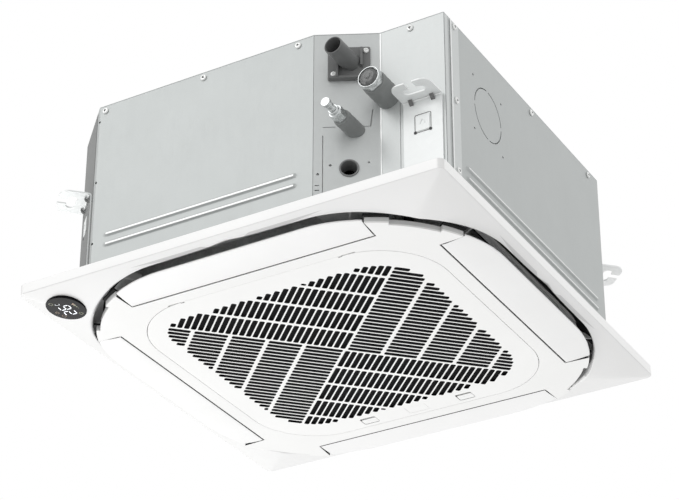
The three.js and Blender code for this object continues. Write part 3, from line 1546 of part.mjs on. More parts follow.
function makeGrille() {
  const outline = roundedSquare(grilleHalf, grilleCorner, 8);
  const windows = latchSpots.map((x) => {
    const half = latchWidth / 2;
    return box(x - half, x + half, latchWindowLow, latchWindowLow + latchHeight, -1, plateThickness + 1);
  });
  const slots = mergeGeometries(grilleSlots().map((slot) => prism(slot, -1, plateThickness + 1)));
  const plate = cut(prism(outline, 0, plateThickness), slots, ...windows);
  const rim = prism(
    outline, plateThickness / 2, grilleRimHeight,
    [roundedSquare(grilleHalf - grilleRim, grilleCorner - grilleRim, 8)],
  );
  const rails = latchSpots.flatMap((x) => [-1, 1].map((side) => {
    const middle = x + side * (latchWidth / 2 + latchRailGap);
    return box(
      middle - latchRail / 2, middle + latchRail / 2, latchWindowLow - 2, grilleHalf - grilleRim / 2,
      plateThickness / 2, 7,
    );
  }));
  const tongueHoles = latchSpots.map((x) => {
    return box(x - 6 - seatGap, x + 6 + seatGap, grilleHalf - grilleRim - 1, grilleHalf + 1, 2.8, 7);
  });
  const edge = box(
    -hingeReach - 6, hingeReach + 6, -grilleHalf - 1, -grilleHalf + grilleHingeRadius, -1, grilleRimHeight + 1,
  );
  const bead = sideways(rod(grilleHingeRadius, -hingeReach, hingeReach, 16))
    .translate(0, -hingeLine, grilleHingeRadius);
  const bridge = box(
    -hingeReach, hingeReach, -hingeLine, -hingeLine + grilleHingeRadius + 1, 0, 2 * grilleHingeRadius,
  );
  const lugRoom = [-1, 1].map((side) => {
    const x = side * (hingeReach + hingeLugWidth / 2 + 0.5);
    const half = hingeLugWidth / 2 + 1.1;
    return box(
      x - half, x + half, -grilleHalf - 1, -hingeLine + grilleHingeRadius + 1, -1, grilleRimHeight + 1,
    );
  });
  const pinHoles = [-1, 1].map((side) => {
    const low = side > 0 ? hingeReach - hingePinLength : -hingeReach - 1;
    return sideways(rod(grilleHingePin + seatGap, low, low + hingePinLength + 1, 8))
      .translate(0, -hingeLine, grilleHingeRadius);
  });
  const blank = cut(join(plate, rim), edge, ...tongueHoles);
  return cut(join(blank, bead, bridge, ...rails), ...lugRoom, ...pinHoles);
}

function makeFilter() {
  const half = latchWindowLow - 3;
  const low = plateThickness + seatGap;
  const rim = prism(
    roundedSquare(half, filterCorner, 4), low, low + filterThickness,
    [roundedSquare(half - 7, filterCorner - 7, 4)],
  );
  const mesh = prism(roundedSquare(half - 4, filterCorner - 4, 4), low, low + 0.8);
  const bars = [-1, 1].flatMap((side) => [
    box(-half + 2, half - 2, side * half / 3 - 1.5, side * half / 3 + 1.5, low, low + filterThickness),
    box(side * half / 3 - 1.5, side * half / 3 + 1.5, -half + 2, half - 2, low, low + filterThickness),
  ]);
  return join(rim, mesh, ...bars);
}

/** A sliding latch, built round its window's middle; its tongue points backwards. */
function makeLatch() {
  const padHigh = latchHeight / 2 - seatGap;
  const padLow = padHigh - latchPadDepth;
  const half = latchWidth / 2 - seatGap;
  const overhang = latchRailGap - latchRail / 2;
  const level = plateThickness + seatGap;
  const pad = box(-half, half, padLow, padHigh, 0.4, level + 1);
  const slider = box(
    -half - overhang, half + overhang, padLow - 3, latchHeight / 2 + 2.5, level, level + 2.4,
  );
  const tongue = box(-6, 6, latchHeight / 2, grilleHalf - latchLevel - 0.2, level + 0.3, level + 2.4);
  return join(pad, slider, tongue);
}

// ---------------------------------------------------------------- assembly

function assembleCabinet() {
  place(cabinet, 'top_cover', makeTopCover(), finishes.galvanised());
  place(cabinet, 'front_side_sheet', makeFrontSheet(), finishes.galvanised());
  place(cabinet, 'right_side_sheet', makeRightSheet(), finishes.galvanised());
  place(cabinet, 'back_side_sheet', makeBackSheet(), finishes.galvanised());
  place(cabinet, 'left_side_sheet', makeLeftSheet(), finishes.galvanised());
  place(cabinet, 'pipe_corner_sheet', makePipeCornerSheet(), finishes.galvanised());
  placeBrackets();
  place(cabinet, 'foam_liner', makeFoamLiner(), finishes.polystyrene());
  place(cabinet, 'drain_pan', makeDrainPan(), finishes.polystyrene());
  place(cabinet, 'heat_exchanger', makeCoil(), finishes.aluminium());
  place(cabinet, 'coil_end_plate_front', makeCoilEnd(), finishes.copper());
  place(cabinet, 'coil_end_plate_right', join(makeCoilEnd().applyMatrix4(acrossDiagonal)), finishes.copper());
  place(cabinet, 'bell_mouth', makeBellMouth(), finishes.whitePlastic());
  place(cabinet, 'motor_plate', makeMotorPlate(), finishes.galvanised());
  place(cabinet, 'fan_motor', makeFanMotor(), finishes.silver());
  place(cabinet, 'motor_shaft', makeShaft(), finishes.silver());
  place(cabinet, 'impeller', makeImpeller(), finishes.whitePlastic());
  place(cabinet, 'impeller_nut', makeImpellerNut(), finishes.silver());
  place(cabinet, 'pump_housing', makePumpHousing(), finishes.whitePlastic());
  place(cabinet, 'pump_motor', makePumpMotor(), finishes.blackPlastic());
  place(cabinet, 'pump_impeller', makePumpImpeller(), finishes.whitePlastic());
  place(cabinet, 'drain_hose', makeDrainHose(), finishes.greyPlastic());
  place(cabinet, 'float_stem', makeFloatStem(), finishes.whitePlastic());
  place(cabinet, 'float', makeFloat(), finishes.whitePlastic());
  place(cabinet, 'control_box', makeControlBox(), finishes.galvanised());
  place(cabinet, 'control_box_lid', makeControlLid(), finishes.galvanised());
  place(cabinet, 'circuit_board', makeCircuitBoard(), finishes.circuit());
  place(cabinet, 'drain_spout', makeDrainSpout(), finishes.greyPlastic());
  place(cabinet, 'gas_pipe', makeGasPipe(), finishes.copper());
  place(cabinet, 'gas_pipe_sleeve', makeGasSleeve(), finishes.foamRubber());
  place(cabinet, 'gas_flare_nut', makeGasNut(), finishes.silver());
  place(cabinet, 'gas_plug', makeGasPlug(), finishes.greyPlastic());
  place(cabinet, 'liquid_pipe', makeLiquidPipe(), finishes.copper());
  place(cabinet, 'liquid_pipe_sleeve', makeLiquidSleeve(), finishes.foamRubber());
  place(cabinet, 'liquid_flare_nut', makeLiquidNut(), finishes.silver());
  place(cabinet, 'liquid_cap', makeLiquidCap(), finishes.silver());
  place(cabinet, 'cable_ring', makeCableRing(), finishes.rubber());
}

function assemblePanel() {
  place(panel, 'fascia_frame', makeFasciaFrame(), finishes.whitePlastic());
  place(panel, 'panel_base', makePanelBase(), finishes.whitePlastic());
  place(panel, 'centre_plate', makeCentrePlate(), finishes.whitePlastic());
  placePanelBolts();
  placeFlaps();
  place(panel, 'intake_grille', makeGrille(), finishes.whitePlastic());
  place(panel, 'air_filter', makeFilter(), finishes.blackPlastic());
  place(panel, 'latch_left', makeLatch(), finishes.whitePlastic(), [-latchSpread, latchLevel, 0]);
  place(panel, 'latch_right', makeLatch(), finishes.whitePlastic(), [latchSpread, latchLevel, 0]);
  place(panel, 'display', makeDisplay(), finishes.glossBlack());
}

assembleCabinet();
assemblePanel();

export default cassette;
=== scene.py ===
"""Dressed model of a ceiling cassette air conditioner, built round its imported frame.

Sizes are in millimetres and are turned into metres when a mesh is made. The front face looks to -Y,
the pipe corner is at +X -Y, and z = 0 is the lowest face of the panel.
"""

import logging
import math
from dataclasses import dataclass
from enum import Enum
from typing import ClassVar, Iterable, Sequence

import bmesh
import bpy
import numpy as np
from mathutils import Matrix, Vector
from mathutils.geometry import delaunay_2d_cdt


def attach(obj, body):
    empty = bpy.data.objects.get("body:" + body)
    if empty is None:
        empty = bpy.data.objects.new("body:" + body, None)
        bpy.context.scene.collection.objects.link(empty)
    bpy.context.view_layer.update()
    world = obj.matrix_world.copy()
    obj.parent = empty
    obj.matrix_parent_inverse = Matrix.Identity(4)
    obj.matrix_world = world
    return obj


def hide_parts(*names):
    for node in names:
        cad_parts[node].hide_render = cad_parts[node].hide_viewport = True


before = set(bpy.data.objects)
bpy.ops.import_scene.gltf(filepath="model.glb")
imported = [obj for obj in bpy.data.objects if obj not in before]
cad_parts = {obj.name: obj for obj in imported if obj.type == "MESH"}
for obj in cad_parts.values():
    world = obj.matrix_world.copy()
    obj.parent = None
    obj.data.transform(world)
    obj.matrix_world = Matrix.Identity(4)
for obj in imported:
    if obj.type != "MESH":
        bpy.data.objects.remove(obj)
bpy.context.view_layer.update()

log = logging.getLogger("cassette")

Array = np.ndarray
Colour = tuple[float, float, float]
MM = 0.001
MERGE = 2e-6
QUARTERS = (0.0, 90.0, 180.0, 270.0)
HINGE_Y, HINGE_Z = -216.15, 1.5
SPOUT_X, SPOUT_Z = 160.5, 246.9
GAS_X, GAS_Z = 205.0, 189.9
LIQUID_X, LIQUID_Z = 164.0, 145.9
ENTRY_ALONG, ENTRY_Z = 45.0, 89.9
ROOT_HALF = math.sqrt(0.5)


# ---------------------------------------------------------------- shapes as arrays


@dataclass(frozen=True)
class Skin:
    """Points in millimetres and the faces between them."""

    points: Array
    faces: list[tuple[int, ...]]

    def moved(self, x: float = 0.0, y: float = 0.0, z: float = 0.0) -> "Skin":
        """The same skin shifted along the axes."""
        return Skin(self.points + np.array([x, y, z]), self.faces)

    def turned(self, degrees: float, axis: str = "Z") -> "Skin":
        """The same skin turned about an axis through the origin."""
        turn = np.array(Matrix.Rotation(math.radians(degrees), 3, axis))
        return Skin(self.points @ turn.T, self.faces)

    def placed(self, matrix: Matrix) -> "Skin":
        """The same skin carried by a 4 x 4 matrix."""
        whole = np.array(matrix)
        return Skin(self.points @ whole[:3, :3].T + whole[:3, 3], self.faces)


def merged(*skins: Skin) -> Skin:
    """Puts several skins into one.

    Args:
        skins: the skins to join, in order.

    Returns:
        One skin of all their points and faces.
    """
    points, faces, start = [], [], 0
    for skin in skins:
        points.append(skin.points)
        faces.extend(tuple(corner + start for corner in face) for face in skin.faces)
        start += len(skin.points)
    return Skin(np.concatenate(points), faces)


def grid(points: Array, close_rows: bool = False, close_columns: bool = False) -> Skin:
    """Joins a (rows, columns, 3) array of points into quads.

    Args:
        points: the surface as a function of its two parameters.
        close_rows: joins the last row to the first.
        close_columns: joins the last column to the first.

    Returns:
        The skin, whose faces turn from columns towards rows.
    """
    rows, columns = points.shape[:2]
    row = np.arange(rows if close_rows else rows - 1)
    column = np.arange(columns if close_columns else columns - 1)
    i, j = np.meshgrid(row, column, indexing="ij")
    k, m = (i + 1) % rows, (j + 1) % columns
    corners = np.stack([i * columns + j, i * columns + m, k * columns + m, k * columns + j], -1)
    return Skin(points.reshape(-1, 3), [tuple(face) for face in corners.reshape(-1, 4).tolist()])


def capped(points: Array) -> Skin:
    """A tube from rings of points, with its first and last ring closed by one face each.

    Args:
        points: (rings, points, 3), one ring after the other.

    Returns:
        The closed tube.
    """
    skin = grid(points, close_columns=True)
    rows, columns = points.shape[:2]
    first = tuple(range(columns - 1, -1, -1))
    last = tuple(range((rows - 1) * columns, rows * columns))
    return Skin(skin.points, skin.faces + [first, last])


def lathe(profile: Sequence[tuple[float, float]], sides: int, closed: bool = False) -> Skin:
    """Turns (radius, height) pairs round Z: x = r cos a, y = r sin a, z = height.

    Args:
        profile: the (radius, height) pairs.
        sides: steps round the axis.
        closed: joins the last pair to the first.

    Returns:
        The turned skin.
    """
    pairs = np.array(profile, float)
    angle = np.linspace(0, 2 * math.pi, sides, endpoint=False)
    radius, height = pairs[:, :1], pairs[:, 1:]
    points = np.stack(
        [radius * np.cos(angle), radius * np.sin(angle), np.broadcast_to(height, (len(pairs), sides))], -1
    )
    return grid(points, close_rows=closed, close_columns=True)


def rounded_bar(radius: float, low: float, high: float, sides: int = 32, edge: float = 0.5) -> Skin:
    """A rod along Z whose two rims are rounded over by a quarter circle.

    Args:
        radius: of the rod.
        low: level of its lower end.
        high: level of its upper end.
        sides: steps round it.
        edge: radius of its rounded rims.

    Returns:
        The closed rod.
    """
    arc = np.linspace(0, math.pi / 2, 4)
    lower = [(radius - edge + edge * math.sin(a), low + edge - edge * math.cos(a)) for a in arc]
    upper = [(radius - edge + edge * math.cos(a), high - edge + edge * math.sin(a)) for a in arc]
    return lathe([(0.0, low), *lower, *upper, (0.0, high)], sides)


def crossbar(radius: float, low: float, high: float, y: float, z: float, sides: int, edge: float) -> Skin:
    """A rounded rod along X, from low to high, whose axis runs through a point of the Y-Z plane."""
    return rounded_bar(radius, low, high, sides, edge).turned(90, "Y").moved(0, y, z)


def forwards(skin: Skin, x: float, z: float) -> Skin:
    """Lays a piece built along +Z along -Y, through a point of the X-Z plane."""
    return skin.turned(90, "X").moved(x, 0, z)


def block(low: Sequence[float], high: Sequence[float], edge: float = 0.0) -> Skin:
    """A box between two corners, with its upright edges cut at 45 degrees by the given amount.

    Args:
        low: the corner with the smallest coordinates.
        high: the corner opposite.
        edge: how much is cut off the upright edges.

    Returns:
        The closed box.
    """
    (x0, y0, z0), (x1, y1, z1) = low, high
    loop = np.array([
        [x0 + edge, y0], [x1 - edge, y0], [x1, y0 + edge], [x1, y1 - edge],
        [x1 - edge, y1], [x0 + edge, y1], [x0, y1 - edge], [x0, y0 + edge],
    ])
    return prism(loop, z0, z1)


def lifted(loop: Array, level: float) -> Array:
    """Plan points raised to one level."""
    return np.column_stack([loop, np.full(len(loop), level)])


def prism(loop: Array, low: float, high: float) -> Skin:
    """A plan loop (counter-clockwise) extruded between two levels."""
    return capped(np.stack([lifted(loop, low), lifted(loop, high)]))


def wall_between(one: Array, other: Array, low: float, high: float) -> Skin:
    """A ring-shaped wall between two loops with as many points, from one level to another."""
    rows = np.stack([lifted(one, low), lifted(one, high), lifted(other, high), lifted(other, low)])
    return grid(rows, close_rows=True, close_columns=True)


def rounded_square(half: float, radius: float, corner: int = 16, side: int = 6) -> Array:
    """A square with round corners as plan points, counter-clockwise.

    Args:
        half: half its width.
        radius: of its corners.
        corner: steps along each corner arc.
        side: steps along each straight side.

    Returns:
        The loop, four times (corner + side) points, starting at +X.
    """
    return rounded_box(half, half, radius, corner, side)


def rounded_box(half_x: float, half_y: float, radius: float, corner: int = 6, side: int = 1) -> Array:
    """A rectangle with round corners as plan points, counter-clockwise.

    Args:
        half_x: half its width.
        half_y: half its depth.
        radius: of its corners.
        corner: steps along each corner arc.
        side: steps along each straight side.

    Returns:
        The loop, starting on the +X side.
    """
    arc = np.linspace(0, math.pi / 2, corner + 1)
    centre = np.array([half_x - radius, half_y - radius])
    loops = []
    for quarter, sign in enumerate(((1, 1), (-1, 1), (-1, -1), (1, -1))):
        angle = arc + quarter * math.pi / 2
        bend = centre * sign + radius * np.column_stack([np.cos(angle), np.sin(angle)])
        next_sign = ((-1, 1), (-1, -1), (1, -1), (1, 1))[quarter]
        after = (quarter + 1) * math.pi / 2
        goal = centre * next_sign + radius * np.array([math.cos(after), math.sin(after)])
        share = np.arange(1, side)[:, None] / side
        loops += [bend, bend[-1] + (goal - bend[-1]) * share]
    return np.concatenate(loops)


def circle(radius: float, sides: int, x: float = 0.0, y: float = 0.0) -> Array:
    """A circle as plan points, counter-clockwise."""
    angle = np.linspace(0, 2 * math.pi, sides, endpoint=False)
    return np.column_stack([x + radius * np.cos(angle), y + radius * np.sin(angle)])


def outward(loop: Array) -> Array:
    """Offset direction of each corner of a counter-clockwise loop, scaled so that edges move by 1.

    Args:
        loop: its plan points.

    Returns:
        One vector for each point.
    """
    before = loop - np.roll(loop, 1, 0)
    after = np.roll(loop, -1, 0) - loop
    before /= np.linalg.norm(before, axis=1, keepdims=True) + 1e-12
    after /= np.linalg.norm(after, axis=1, keepdims=True) + 1e-12
    total = before + after
    normal = np.column_stack([total[:, 1], -total[:, 0]])
    return normal / (1 + np.sum(before * after, 1, keepdims=True))


def filleted(loop: Array, radius: float, steps: int = 4) -> Array:
    """Rounds every corner of a plan loop by a quadratic curve that starts one radius before it.

    Args:
        loop: its plan points.
        radius: how far before a corner its curve starts, at most 0.45 of the edge.
        steps: along each curve.

    Returns:
        The rounded loop.
    """
    before = np.roll(loop, 1, 0) - loop
    after = np.roll(loop, -1, 0) - loop
    size_before = np.linalg.norm(before, axis=1, keepdims=True)
    size_after = np.linalg.norm(after, axis=1, keepdims=True)
    start = loop + before / size_before * np.minimum(radius, size_before * 0.45)
    end = loop + after / size_after * np.minimum(radius, size_after * 0.45)
    t = np.linspace(0, 1, steps + 1)[None, :, None]
    curve = (1 - t) ** 2 * start[:, None] + 2 * t * (1 - t) * loop[:, None] + t**2 * end[:, None]
    return curve.reshape(-1, 2)


def flat_fill(outline: Array, holes: Sequence[Array], extra: Array | None = None) -> tuple[Array, Array]:
    """Fills the plan area between an outline and its holes with triangles.

    Args:
        outline: the outer loop.
        holes: convex loops that stay open.
        extra: further points inside the area, for a height pattern.

    Returns:
        The plan points and the triangles, all counter-clockwise.
    """
    loops = [outline, *holes]
    sizes = [len(loop) for loop in loops]
    starts = np.cumsum([0, *sizes])
    edges = [
        (start + i, start + (i + 1) % size)
        for start, size in zip(starts, sizes)
        for i in range(size)
    ]
    owner = np.repeat(np.arange(len(loops)), sizes)
    points = np.concatenate(loops)
    if extra is not None:
        points = np.concatenate([points, extra])
        owner = np.concatenate([owner, np.full(len(extra), -1)])
    made = delaunay_2d_cdt([Vector(point) for point in points], edges, [], 1, 1e-7)
    found = np.array([tuple(point) for point in made[0]])
    triangles = np.array([face for face in made[2] if len(face) == 3])
    loop_of = np.array([owner[origin[0]] if origin else -1 for origin in made[3]])
    owners = loop_of[triangles]
    inside_hole = (owners[:, 0] > 0) & (owners == owners[:, :1]).all(1)
    triangles = triangles[~inside_hole]
    a, b, c = (found[triangles[:, i]] for i in range(3))
    turn = (b - a)[:, 0] * (c - a)[:, 1] - (b - a)[:, 1] * (c - a)[:, 0]
    triangles[turn < 0] = triangles[turn < 0][:, ::-1]
    return found, triangles


def pierced_plate(
    outline: Array, holes: Sequence[Array], low: float, high: float, edge: float = 0.4, steps: int = 2
) -> Skin:
    """A flat plate with open holes, whose edges are rounded by a quarter circle.

    Args:
        outline: its outer loop, counter-clockwise.
        holes: loops that go right through it, counter-clockwise and convex.
        low: level of its lower face.
        high: level of its upper face.
        edge: radius of the rounded edges.
        steps: faces along each rounded edge.

    Returns:
        The closed plate.
    """
    arc = np.linspace(0, math.pi / 2, steps + 1)
    inset = np.concatenate([edge * (1 - np.sin(arc)), edge * (1 - np.cos(arc))])
    level = np.concatenate([low + edge * (1 - np.cos(arc)), high - edge * (1 - np.sin(arc))])
    parts = []
    for number, loop in enumerate([outline, *holes]):
        way = outward(loop) * (-1 if number == 0 else 1)
        wall = np.stack([lifted(loop + way * far, height) for far, height in zip(inset, level)])
        parts.append(grid(wall if number == 0 else wall[::-1], close_columns=True))
    plan, triangles = flat_fill(
        outline - outward(outline) * edge, [hole + outward(hole) * edge for hole in holes]
    )
    upper = [tuple(face) for face in triangles.tolist()]
    lower = [face[::-1] for face in upper]
    return merged(Skin(lifted(plan, high), upper), Skin(lifted(plan, low), lower), *parts)


def swept(section: Array, path: Array, closed: bool = False) -> Skin:
    """Carries a closed (across, up) section along a path of points, turning as little as it can.

    Args:
        section: (k, 2) loop, counter-clockwise seen against the path's direction.
        path: (n, 3) points.
        closed: whether the path returns to its start.

    Returns:
        A capped or ring-shaped skin.
    """
    tangent = np.roll(path, -1, 0) - np.roll(path, 1, 0) if closed else np.gradient(path, axis=0)
    tangent /= np.linalg.norm(tangent, axis=1, keepdims=True)
    side = np.cross(tangent[0], [0.0, 0.0, 1.0])
    if np.linalg.norm(side) < 1e-3:
        side = np.cross(tangent[0], [0.0, 1.0, 0.0])
    rings = []
    for point, along in zip(path, tangent):
        side = side - along * (side @ along)
        side /= np.linalg.norm(side)
        up = np.cross(side, along)
        rings.append(point + section[:, :1] * side + section[:, 1:] * up)
    rings_array = np.stack(rings)
    return grid(rings_array, True, True) if closed else capped(rings_array)


def smooth_step(value: Array) -> Array:
    """0 below 0, 1 above 1, and 3 v^2 - 2 v^3 between."""
    v = np.clip(value, 0, 1)
    return v * v * (3 - 2 * v)


# ---------------------------------------------------------------- finishes


class Paint:
    """A material under construction: short calls for the nodes that the finishes need."""

    def __init__(self, name: str, **sockets: object) -> None:
        """Starts a material whose shader sockets hold the given plain values.

        Args:
            name: of the material.
            sockets: the sockets' names, with _ for a space, and their values.
        """
        self.material = bpy.data.materials.new(name)
        self.material.use_nodes = True
        self.tree = self.material.node_tree
        self.shader = self.tree.nodes["Principled BSDF"]
        for socket, value in sockets.items():
            self.shader.inputs[socket.replace("_", " ")].default_value = value
        self.place = self.tree.nodes.new("ShaderNodeTexCoord").outputs["Object"]

    def node(self, kind: str, inputs: dict[object, object], **settings: object) -> bpy.types.Node:
        """Adds a node; an input that is a socket is linked and any other is set.

        Args:
            kind: the node's type without ShaderNode.
            inputs: what goes into its inputs, by name or number.
            settings: its own properties.

        Returns:
            The node.
        """
        node = self.tree.nodes.new("ShaderNode" + kind)
        for name, value in settings.items():
            setattr(node, name, value)
        for name, value in inputs.items():
            if isinstance(value, bpy.types.NodeSocket):
                self.tree.links.new(value, node.inputs[name])
            else:
                node.inputs[name].default_value = value
        return node

    def stretched(self, x: float, y: float, z: float, turn: float = 0.0) -> bpy.types.NodeSocket:
        """Object coordinates scaled by axis, after a turn about Z in degrees.

        Args:
            x: scale along X.
            y: scale along Y.
            z: scale along Z.
            turn: about Z, in degrees.

        Returns:
            The socket of the coordinates.
        """
        mapping = self.node(
            "Mapping", {"Vector": self.place, "Scale": (x, y, z), "Rotation": (0, 0, math.radians(turn))}
        )
        return mapping.outputs["Vector"]

    def noise(
        self, size: float, detail: float = 3.0, where: bpy.types.NodeSocket | None = None
    ) -> bpy.types.NodeSocket:
        """Cloudy noise with features of the given size in millimetres.

        Args:
            size: of its features, in millimetres.
            detail: how many finer layers it has.
            where: coordinates other than the object's own.

        Returns:
            The socket of the noise.
        """
        made = self.node(
            "TexNoise", {"Vector": where or self.place, "Scale": 1 / (size * MM), "Detail": detail}
        )
        return made.outputs[0]

    def math(self, operation: str, a: object, b: object = 0.0) -> bpy.types.NodeSocket:
        """One arithmetic step."""
        return self.node("Math", {0: a, 1: b}, operation=operation).outputs[0]

    def ramp(self, value: bpy.types.NodeSocket, *stops: tuple[float, Colour]) -> bpy.types.NodeSocket:
        """Turns a number into a colour between stops.

        Args:
            value: the number.
            stops: (position, colour) pairs, in order.

        Returns:
            The socket of the colour.
        """
        node = self.node("ValToRGB", {0: value})
        bar = node.color_ramp.elements
        for index, (at, colour) in enumerate(stops):
            stop = bar[index] if index < len(bar) else bar.new(at)
            stop.position = at
            stop.color = (*colour, 1)
        return node.outputs["Color"]

    def span(self, value: bpy.types.NodeSocket, low: float, high: float, start: float = 0.0,
             end: float = 1.0) -> bpy.types.NodeSocket:
        """Maps start..end of a number to low..high."""
        made = self.node("MapRange", {0: value, 1: start, 2: end, 3: low, 4: high})
        return made.outputs[0]

    def colour(self, value: bpy.types.NodeSocket) -> None:
        """Gives the base colour a pattern."""
        self.tree.links.new(value, self.shader.inputs["Base Color"])

    def roughness(self, value: bpy.types.NodeSocket) -> None:
        """Gives the roughness a pattern."""
        self.tree.links.new(value, self.shader.inputs["Roughness"])

    def relief(self, height: bpy.types.NodeSocket, depth: float, strength: float = 1.0) -> None:
        """Raises the surface by a pattern times depth millimetres, for shading only."""
        bump = self.node("Bump", {"Height": height, "Distance": depth * MM, "Strength": strength})
        self.tree.links.new(bump.outputs[0], self.shader.inputs["Normal"])


@dataclass(frozen=True)
class Finish:
    """A finish: its name, its plain colour and how it scatters light."""

    name: str
    colour: Colour
    roughness: float = 0.5
    metallic: float = 0.0

    def start(self, **sockets: object) -> Paint:
        """The material with this finish's own values on its shader."""
        plain = {"Base_Color": (*self.colour, 1), "Roughness": self.roughness, "Metallic": self.metallic}
        return Paint(self.name, **plain, **sockets)

    def shade(self, factor: float) -> Colour:
        """The colour, lighter or darker."""
        return tuple(min(1.0, part * factor) for part in self.colour)

    def make(self) -> bpy.types.Material:
        """Builds the material."""
        return self.start().material


@dataclass(frozen=True)
class Galvanised(Finish):
    """Zinc-coated sheet: a faint spangle of crystals and long rolling marks."""

    spangle: float = 9.0

    def make(self) -> bpy.types.Material:
        """Builds the crystals from cells, with cloudy patches over them and fine scratches in the gloss.

        Returns:
            The material.
        """
        paint = self.start()
        cells = paint.node("TexVoronoi", {"Vector": paint.place, "Scale": 1 / (self.spangle * MM)})
        grain = paint.node("RGBToBW", {0: cells.outputs["Color"]}).outputs[0]
        cloud = paint.noise(70, 4)
        mixed = paint.math("ADD", paint.math("MULTIPLY", grain, 0.35), paint.math("MULTIPLY", cloud, 0.65))
        paint.colour(paint.ramp(mixed, (0.25, self.shade(0.965)), (0.75, self.shade(1.03))))
        rolled = paint.noise(2.2, 2, paint.stretched(1.0, 1.0, 0.06))
        gloss = paint.math("ADD", paint.math("MULTIPLY", grain, 0.5), paint.math("MULTIPLY", rolled, 0.5))
        paint.roughness(paint.span(gloss, self.roughness - 0.05, self.roughness + 0.07))
        paint.relief(rolled, 0.02, 0.35)
        return paint.material


@dataclass(frozen=True)
class Moulded(Finish):
    """Injection-moulded plastic: a fine spark-eroded grain and a very faint unevenness."""

    grain: float = 0.35
    depth: float = 0.012
    coat: float = 0.0
    shine: float = 0.5

    def make(self) -> bpy.types.Material:
        """Builds the grain as relief and a slow cloud in colour and gloss.

        Returns:
            The material.
        """
        paint = self.start(Coat_Weight=self.coat, Coat_Roughness=0.12, Specular_IOR_Level=self.shine)
        cloud = paint.noise(90, 3)
        paint.colour(paint.ramp(cloud, (0.3, self.shade(0.985)), (0.7, self.shade(1.01))))
        paint.roughness(paint.span(paint.noise(25, 4), self.roughness - 0.05, self.roughness + 0.05))
        paint.relief(paint.noise(self.grain, 2), self.depth, 0.6)
        return paint.material


@dataclass(frozen=True)
class Foam(Finish):
    """Closed-cell foam: rubber sleeves or the beads of polystyrene, by bead size."""

    bead: float = 1.2
    depth: float = 0.15

    def make(self) -> bpy.types.Material:
        """Builds the beads from cells, with painted shade darkening the creases between them.

        Returns:
            The material.
        """
        paint = self.start(Sheen_Weight=0.15)
        cells = paint.node("TexVoronoi", {"Vector": paint.place, "Scale": 1 / (self.bead * MM)})
        crease = cells.outputs["Distance"]
        cloud = paint.noise(18, 3)
        tone = paint.math("ADD", paint.math("MULTIPLY", crease, -0.4), cloud)
        paint.colour(paint.ramp(tone, (0.0, self.shade(0.8)), (0.6, self.shade(1.08))))
        paint.relief(crease, self.depth, 0.5)
        return paint.material


@dataclass(frozen=True)
class Metal(Finish):
    """Turned or drawn metal: fine marks, stretched along one axis, and slightly uneven gloss."""

    stretch: tuple[float, float, float] = (1.0, 0.05, 1.0)
    mark: float = 0.5

    def make(self) -> bpy.types.Material:
        """Builds the marks as relief and a slow stain in colour.

        Returns:
            The material.
        """
        paint = self.start()
        marks = paint.noise(self.mark, 3, paint.stretched(*self.stretch))
        stain = paint.noise(14, 3)
        paint.colour(paint.ramp(stain, (0.3, self.shade(0.88)), (0.7, self.shade(1.05))))
        paint.roughness(paint.span(marks, self.roughness - 0.07, self.roughness + 0.1))
        paint.relief(marks, 0.015, 0.4)
        return paint.material


@dataclass(frozen=True)
class Net(Finish):
    """A woven filter net: square holes between threads, drawn as colour and relief."""

    pitch: float = 1.3

    def make(self) -> bpy.types.Material:
        """Builds threads from two crossed waves: the sine of x and of y, the larger one on top.

        Returns:
            The material.
        """
        paint = self.start(Specular_IOR_Level=0.05)
        split = paint.node("SeparateXYZ", {0: paint.place})
        turns = 2 * math.pi / (self.pitch * MM)
        waves = [paint.math("SINE", paint.math("MULTIPLY", split.outputs[i], turns)) for i in (0, 1)]
        thread = paint.math("MAXIMUM", *waves)
        paint.colour(paint.ramp(thread, (0.35, self.shade(0.25)), (0.75, self.colour)))
        paint.relief(thread, 0.3, 0.8)
        return paint.material


@dataclass(frozen=True)
class Fins(Finish):
    """A finned coil: thin upright aluminium plates, seen from their edges."""

    pitch: float = 2.6

    def make(self) -> bpy.types.Material:
        """Builds the plates from one wave along both plan axes, with painted shade dark between the plates.

        Returns:
            The material.
        """
        paint = self.start()
        split = paint.node("SeparateXYZ", {0: paint.place})
        turns = 2 * math.pi / (self.pitch * MM)
        along = paint.math("ADD", split.outputs[0], split.outputs[1])
        wave = paint.math("SINE", paint.math("MULTIPLY", along, turns))
        paint.colour(paint.ramp(wave, (0.2, self.shade(0.25)), (0.7, self.shade(1.1))))
        paint.relief(wave, 0.4, 0.9)
        return paint.material


@dataclass(frozen=True)
class Board(Finish):
    """A printed circuit board: green lacquer over brighter copper tracks."""

    def make(self) -> bpy.types.Material:
        """Builds the tracks as thin bands of a coarse brick pattern.

        Returns:
            The material.
        """
        paint = self.start(Coat_Weight=0.4)
        bricks = paint.node("TexBrick", {
            "Vector": paint.place, "Scale": 120.0, "Mortar Size": 0.03,
            "Color1": (*self.colour, 1), "Color2": (*self.shade(0.8), 1), "Mortar": (*self.shade(1.8), 1),
        })
        paint.colour(bricks.outputs["Color"])
        paint.relief(bricks.outputs["Fac"], 0.05)
        return paint.material


@dataclass(frozen=True)
class Lens(Finish):
    """Dark acrylic with a polished face, slightly smoky inside."""

    def make(self) -> bpy.types.Material:
        """Builds a weak gloss over a nearly black body with faint swirls.

        Returns:
            The material.
        """
        paint = self.start(IOR=1.12)
        swirl = paint.noise(7, 3)
        paint.colour(paint.ramp(swirl, (0.3, self.shade(0.7)), (0.7, self.shade(1.5))))
        paint.roughness(paint.span(paint.noise(3, 3), self.roughness - 0.02, self.roughness + 0.05))
        return paint.material


